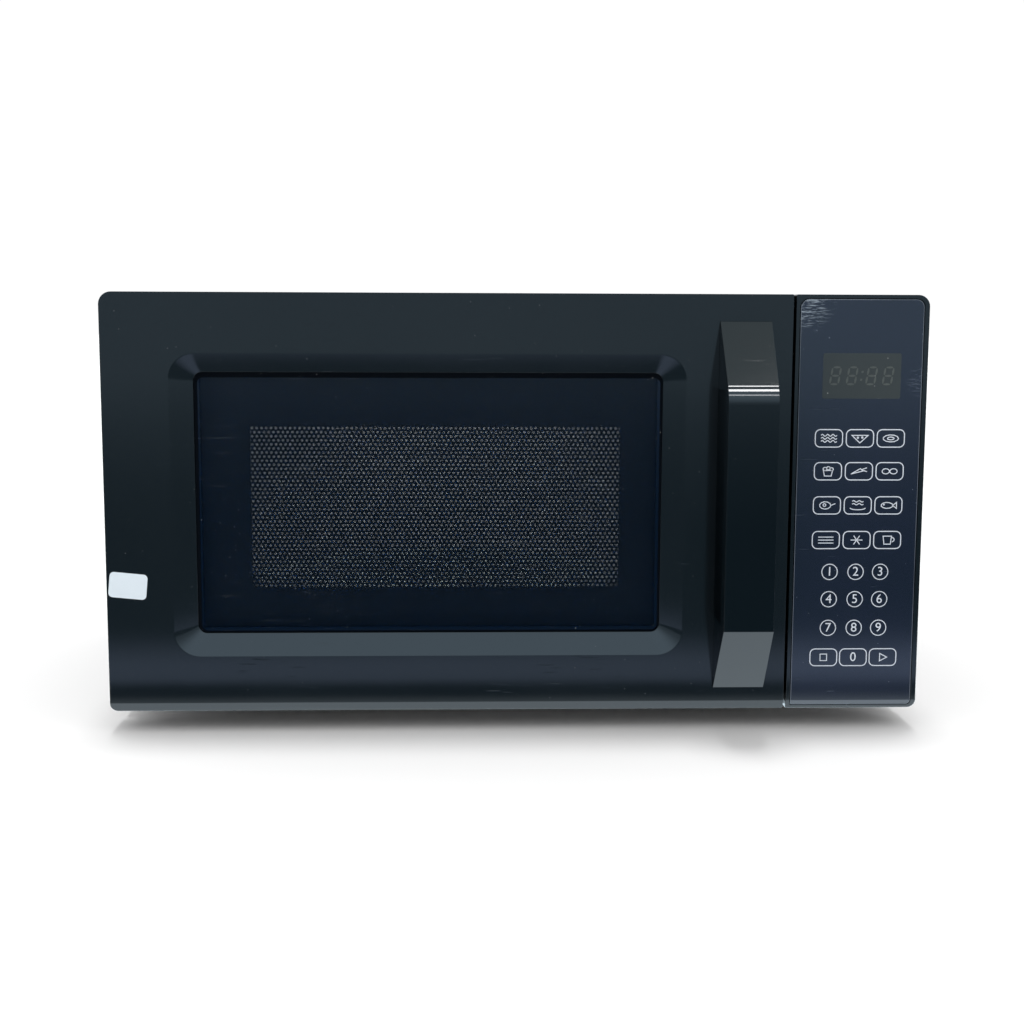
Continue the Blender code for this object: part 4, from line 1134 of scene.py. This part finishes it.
# %% Segments
let_go()
bpy.ops.mesh.primitive_circle_add(vertices=6, radius=0.62 * MM, fill_type="NGON", rotation=UPRIGHT)
bar = settle(bpy.context.object)
edit(bar, "VERT")
for side in (-1, 1):
    pick(bar, lambda p, v: p.x * side > 0.1)
    bpy.ops.transform.translate(value=(side * 1.35 * MM, 0, 0))
done()
thicken(bar, 0.03)


def segment(x, z, upright):
    turn = (0, math.pi / 2 if upright else 0, 0)
    return set_down(copy_to(bar, (0, 0, 0), "segment"), (x, FACE - 0.01, z), turn)


HALF, CLOCK_Z, SLANT = 2.35, 203.0, 9
segments = []
for x in (177.9, 187.3, 198.3, 207.7):
    for rise in (-2, 0, 2):
        segments.append(segment(x, CLOCK_Z + rise * HALF, False))
    for side in (-1, 1):
        for rise in (-1, 1):
            segments.append(segment(x + side * HALF, CLOCK_Z + rise * HALF, True))
for rise in (-2.2, 2.2):
    square = (192.2, CLOCK_Z + rise - 0.6, 193.4, CLOCK_Z + rise + 0.6)
    segments.append(thicken(rounded_panel("colon", square, 0.3, FACE - 0.01, 3), 0.03))
bpy.data.objects.remove(bar)
clock = joined("display_segments", *segments)
for vert in clock.data.vertices:
    vert.co.x += (vert.co.z - CLOCK_Z * MM) * math.tan(math.radians(SLANT))
ghost = finish("unlit_segments", (0.060, 0.066, 0.058), 0.4, wave=4, drift=0.3, dust=0.2)
fit_out(clock, ghost, "oven_body", "display_black")

# %% [markdown]
# ## The price sticker
# A small paper label is stuck near the door's left edge, a little crooked. It is a rounded panel drawn out
# to the thickness of paper, with its rim softened, then turned and set down on the plastic.

# %% Sticker
STICKER = (-218.0, 84.6)
label = rounded_panel("price_sticker", (-10.6, -7.2, 10.6, 7.2), 2.4, 0, steps=6)
set_down(thicken(label, 0.12), (STICKER[0], FACE - 0.16, STICKER[1]), (0, math.radians(5.5), 0))
smooth(soften(label, 0.05, 2), 40)
fit_out(label, label_paper, "door", "gloss_black_plastic")

# %% [markdown]
# ## The cabinet
# One steel sheet is folded over the sides and top, powder coated and screwed on at the back. A block with
# its front, bottom and back faces removed gives the sheet, two bevelled edges give the folds, and Solidify
# gives the metal. The air slots are pressed out through a raised field on each side.

# %% Cabinet sheet
case_low, case_high = box_mm("outer_cabinet")
cabinet = block("cabinet_sheet", case_low, case_high)
edit(cabinet)
pick(cabinet, lambda p, f: p.y < case_low.y + 0.01 or p.z < case_low.z + 0.01)
bpy.ops.mesh.delete(type="FACE")
pick(cabinet, lambda p, f: p.y > case_high.y - 0.01)
bpy.ops.mesh.inset(thickness=9 * MM, depth=0, use_boundary=False)
bpy.ops.mesh.delete(type="FACE")
bpy.ops.mesh.select_mode(type="EDGE")
pick(cabinet, lambda p, e: p.z > case_high.z - 0.01 and abs(p.x) > case_high.x - 0.01)
bevel(6, 10)
done()
apply_step(cabinet, "SOLIDIFY", thickness=1.0 * MM, offset=-1, use_even_offset=True)
soften(cabinet, 0.25, 2, above=40)


# %% Pressed fields and slots
def pressed_field(side, y0, y1, z0, z1):
    """A shallow raised field on a cabinet side, on which the slots are cut."""
    x = side * (case_high.x - 0.4)
    field = block("pressed_field", (min(x, x + side * 1.0), y0, z0), (max(x, x + side * 1.0), y1, z1))
    edit(field, "EDGE")
    pick(field, lambda p, e: min(abs(p.y - y0), abs(p.y - y1)) + min(abs(p.z - z0), abs(p.z - z1)) < 0.01)
    bevel(5, 6)
    done()
    return soften(field, 0.5, 3, above=40)


def slot_row(count, first, size):
    return row_of(block("slot", first, Vector(first) + Vector(size)), count, (0, 9, 0))


cut(cabinet, pressed_field(1, 13, 130, 162, 204), "UNION")
cut(cabinet, pressed_field(-1, 69, 167, 184, 218), "UNION")
cut(cabinet, slot_row(12, (case_high.x - 8, 20, 168), (12, 4, 30)))
cut(cabinet, slot_row(10, (case_low.x - 4, 75, 190), (12, 4, 22)))
smooth(cabinet, 30)
fit_out(cabinet, powder_black, "oven_body", "black_painted_steel", "outer_cabinet")

# %% [markdown]
# ## Screws
# The cabinet, the rear panel and the front plate are held with self-tapping screws. One pan head is turned
# from a cylinder, domed with a bevel and given a cross recess with two crossed blocks, then copied.


# %% Screw heads
def pan_head(radius=3.4, height=1.9):
    head = rod(radius, height, (0, height / 2, 0), turn=UPRIGHT, sides=24)
    edit(head, "EDGE")
    pick(head, lambda p, e: p.y > height - 0.01)
    bevel(1.1, 4)
    done()
    for size in ((2.0, 0.45), (0.45, 2.0)):
        cut(head, block("cross", (-size[0], height - 1.0, -size[1]), (size[0], height + 1, size[1])))
    return smooth(head, 35)


rear_high = box_mm("rear_panel")[1]
head = pan_head()
ON_PANEL = ((-200, 25), (-60, 25), (80, 25), (200, 25), (-212, 130), (212, 40), (-120, 236), (30, 236),
            (104, 150))
ON_CASE = ((-224.5, 60), (-224.5, 190), (224.5, 90), (-150, 242.4), (0, 242.4), (150, 242.4))
screws = [copy_to(head, (x, rear_high.y - 9.25, z), "screw") for x, z in ON_PANEL]
screws += [copy_to(head, (x, case_high.y, z), "screw") for x, z in ON_CASE]
bpy.data.objects.remove(head)
rear_screws = joined("rear_screws", *screws)
fit_out(rear_screws, zinc, "oven_body", "zinc_steel")

# %% [markdown]
# ## The cavity
# Inside, every wall is enamelled light grey. The left wall is pierced where air leaves and the right wall
# where the lamp shines through. Each wall is a plate the size of its CAD part, pierced with round cutters,
# made as one cylinder and two Arrays.


# %% Pierced walls
def pierced(node, name, centre, counts, pitch=5.0, radius=1.6, feed=None):
    """A wall with a field of holes round a centre (y, z), and maybe a feed for the waveguide."""
    low, high = box_mm(node)
    wall = block(name, low, high)
    if feed:
        cut(wall, block("feed", (low.x - 2, feed[0], feed[1]), (high.x + 2, feed[2], feed[3])))
    soften(wall, 0.2, 2)
    start = (low.x, *(middle - (count - 1) * pitch / 2 for middle, count in zip(centre, counts)))
    pin = rod(radius, 20, start, turn=(0, math.pi / 2, 0), sides=12)
    row_of(row_of(pin, counts[0], (0, pitch, 0)), counts[1], (0, 0, pitch))
    cut(wall, pin)
    smooth(wall, 30)
    fit_out(wall, enamel, "oven_body", "grey_cavity_enamel", node)


pierced("cavity_left_wall", "left_wall", (110, 190), (14, 5))
pierced("cavity_right_wall", "right_wall", (-70, 196), (6, 6), feed=(14, 132, 66, 168))

# %% [markdown]
# ## The glass tray
# The tray is pressed glass: a flat disc with a shallow sloping rim and a foot ring underneath. A filled
# circle is extruded and resized step by step along its profile, which is how a lathe would see it. Three
# small lugs below take the drive.


# %% Turning a profile
def turned(name, centre, profile, sides=96):
    """Extrudes a disc through (radius, height) steps, in millimetres, up the outside and down the inside."""
    radius, height = profile[0]
    place = Vector((centre[0], centre[1], height)) * MM
    let_go()
    bpy.ops.mesh.primitive_circle_add(vertices=sides, radius=radius * MM, fill_type="NGON", location=place)
    piece = settle(bpy.context.object)
    piece.name = name
    edit(piece, "FACE", "SELECT")
    for next_radius, next_height in profile[1:]:
        pull(0, 0, next_height - height)
        ratio = next_radius / radius
        turn_centre = (centre[0] * MM, centre[1] * MM, next_height * MM)
        bpy.ops.transform.resize(value=(ratio, ratio, 1), center_override=turn_centre)
        radius, height = next_radius, next_height
    face_out()
    done()
    return piece


tray_low, tray_high = box_mm("glass_tray")
centre = ((tray_low.x + tray_high.x) / 2, (tray_low.y + tray_high.y) / 2)
base = tray_low.z + 4.5
tray_profile = [
    (104, base), (106.5, base + 0.2), (112, base + 0.9), (122.8, base + 6.4), (126.2, base + 7.9),
    (127.4, base + 8.7), (127.2, base + 9.6), (126.0, base + 10.0), (121.5, base + 9.2), (110.5, base + 4.7),
    (108.0, base + 4.1), (105, base + 4.0), (84, base + 4.0), (83.4, base + 4.25), (82.6, base + 4.25),
    (82, base + 4.0), (46, base + 4.0), (45.4, base + 4.25), (44.6, base + 4.25), (44, base + 4.0),
]
tray = turned("turntable_glass", centre, tray_profile)
for turn in range(3):
    lug = block("lug", (11, -3.5, base - 4.4), (18, 3.5, base + 1.5))
    set_down(lug, (*centre, 0), (0, 0, math.radians(30 + 120 * turn)))
    cut(tray, soften(lug, 0.8, 2), "UNION")
smooth(tray, 35)


def clear_glass():
    made, tree, shader = new_material("pressed_glass")
    waves = effect(tree, "waves", Size=14.0)
    bump = add(tree, "ShaderNodeBump", Height=waves["Height"], Distance=0.2 * MM)
    tint = ramp(tree, waves["Tone"], 0.3, 0.7, 0.92, 1.0)
    colour = shaded(tree, (0.90, 0.98, 0.96), tint)
    plug(shader, Base_Color=colour, Normal=bump.outputs[0], Roughness=0.03, IOR=1.5, Transmission_Weight=1.0)
    return made


glass = clear_glass()
fit_out(tray, glass, "tray", "tray_glass", "glass_tray")

# %% [markdown]
# ## Hot-dip galvanised steel
# The rear panel, base and waveguide are cut from galvanised sheet, which shows large frost-like crystals.
# A Voronoi pattern gives each crystal its own shade and roughness. The pattern is kept faint, because on
# modern sheet the spangle is small.


# %% Spangle
def galvanised_sheet():
    made = finish("galvanised_sheet", (0.50, 0.51, 0.52), 0.36, metallic=0.9, wave=1.0, wave_depth=0.03,
                  dust=0.4)
    tree = made.node_tree
    shader = tree.nodes["Principled BSDF"]
    spot = own_space(tree)
    crystals = add(tree, "ShaderNodeTexVoronoi", Vector=spot, Scale=140.0)
    shade = add(tree, "ShaderNodeSeparateColor", Color=crystals.outputs["Color"]).outputs["Green"]
    before = shader.inputs["Base Color"].links[0].from_socket
    tone = ramp(tree, shade, 0.0, 1.0, 0.86, 1.10)
    colour = shaded(tree, before, tone)
    rough = shader.inputs["Roughness"].links[0].from_socket
    varied = times(tree, rough, ramp(tree, shade, 0.0, 1.0, 0.85, 1.2))
    plug(shader, Base_Color=colour, Roughness=varied)
    return made


galvanised = galvanised_sheet()
print("spangle ready")

# %% [markdown]
# ## Dressing the CAD parts
# The parts whose CAD shape is already right keep it and get their real finish. A table of finish against
# part names keeps this in one place.

# %% Finishes of the carried parts
carried = {
    galvanised: ["rear_panel", "base_plate", "waveguide"],
    enamel: ["cavity_front_plate", "cavity_rear_wall", "cavity_ceiling", "cavity_floor"],
    rubber: ["foot_front_left", "foot_front_right", "foot_rear_left", "foot_rear_right"],
    matte_black: ["cord_gland", "primary_switch", "secondary_switch", "monitor_switch", "high_voltage_diode",
                  "fan_shroud", "fan_blade", "lamp_holder"],
    zinc: ["hinge_plate_upper", "hinge_plate_lower", "turntable_motor", "turntable_shaft", "fan_motor",
           "thermal_cutout", "handle_screw_lower", "handle_screw_upper", "latch_spring"],
    nylon: ["drive_coupler", "roller_ring", "roller_wheel_1", "roller_wheel_2", "roller_wheel_3",
            "latch_hooks", "interlock_bracket", "primary_switch_plunger", "secondary_switch_plunger",
            "monitor_switch_plunger"],
    bare_aluminium: ["magnetron", "high_voltage_capacitor"],
    core_steel: ["transformer_core"],
    copper: ["primary_winding", "secondary_winding"],
    board: ["control_board", "noise_filter_board"],
    mica: ["mica_cover"],
    glass: ["lamp_bulb"],
    smoke: ["display_module"],
}
for material, names in carried.items():
    for name in names:
        dress(name, material)
print(sum(len(names) for names in carried.values()), "CAD parts dressed")

# %% [markdown]
# ## Light in the cavity
# The screen's holes read as pale dots because the enamel behind them is lit. A weak lamp under the cavity's
# ceiling does that, and shows the tray when the door is open.

# %% Cavity lamp
middle_x = centre[0] * MM
softbox("cavity_glow", (middle_x, -0.02, 0.2215), (middle_x, 0.02, 0.05), 0.22, 0.16, 0.8)
print("cavity lit")
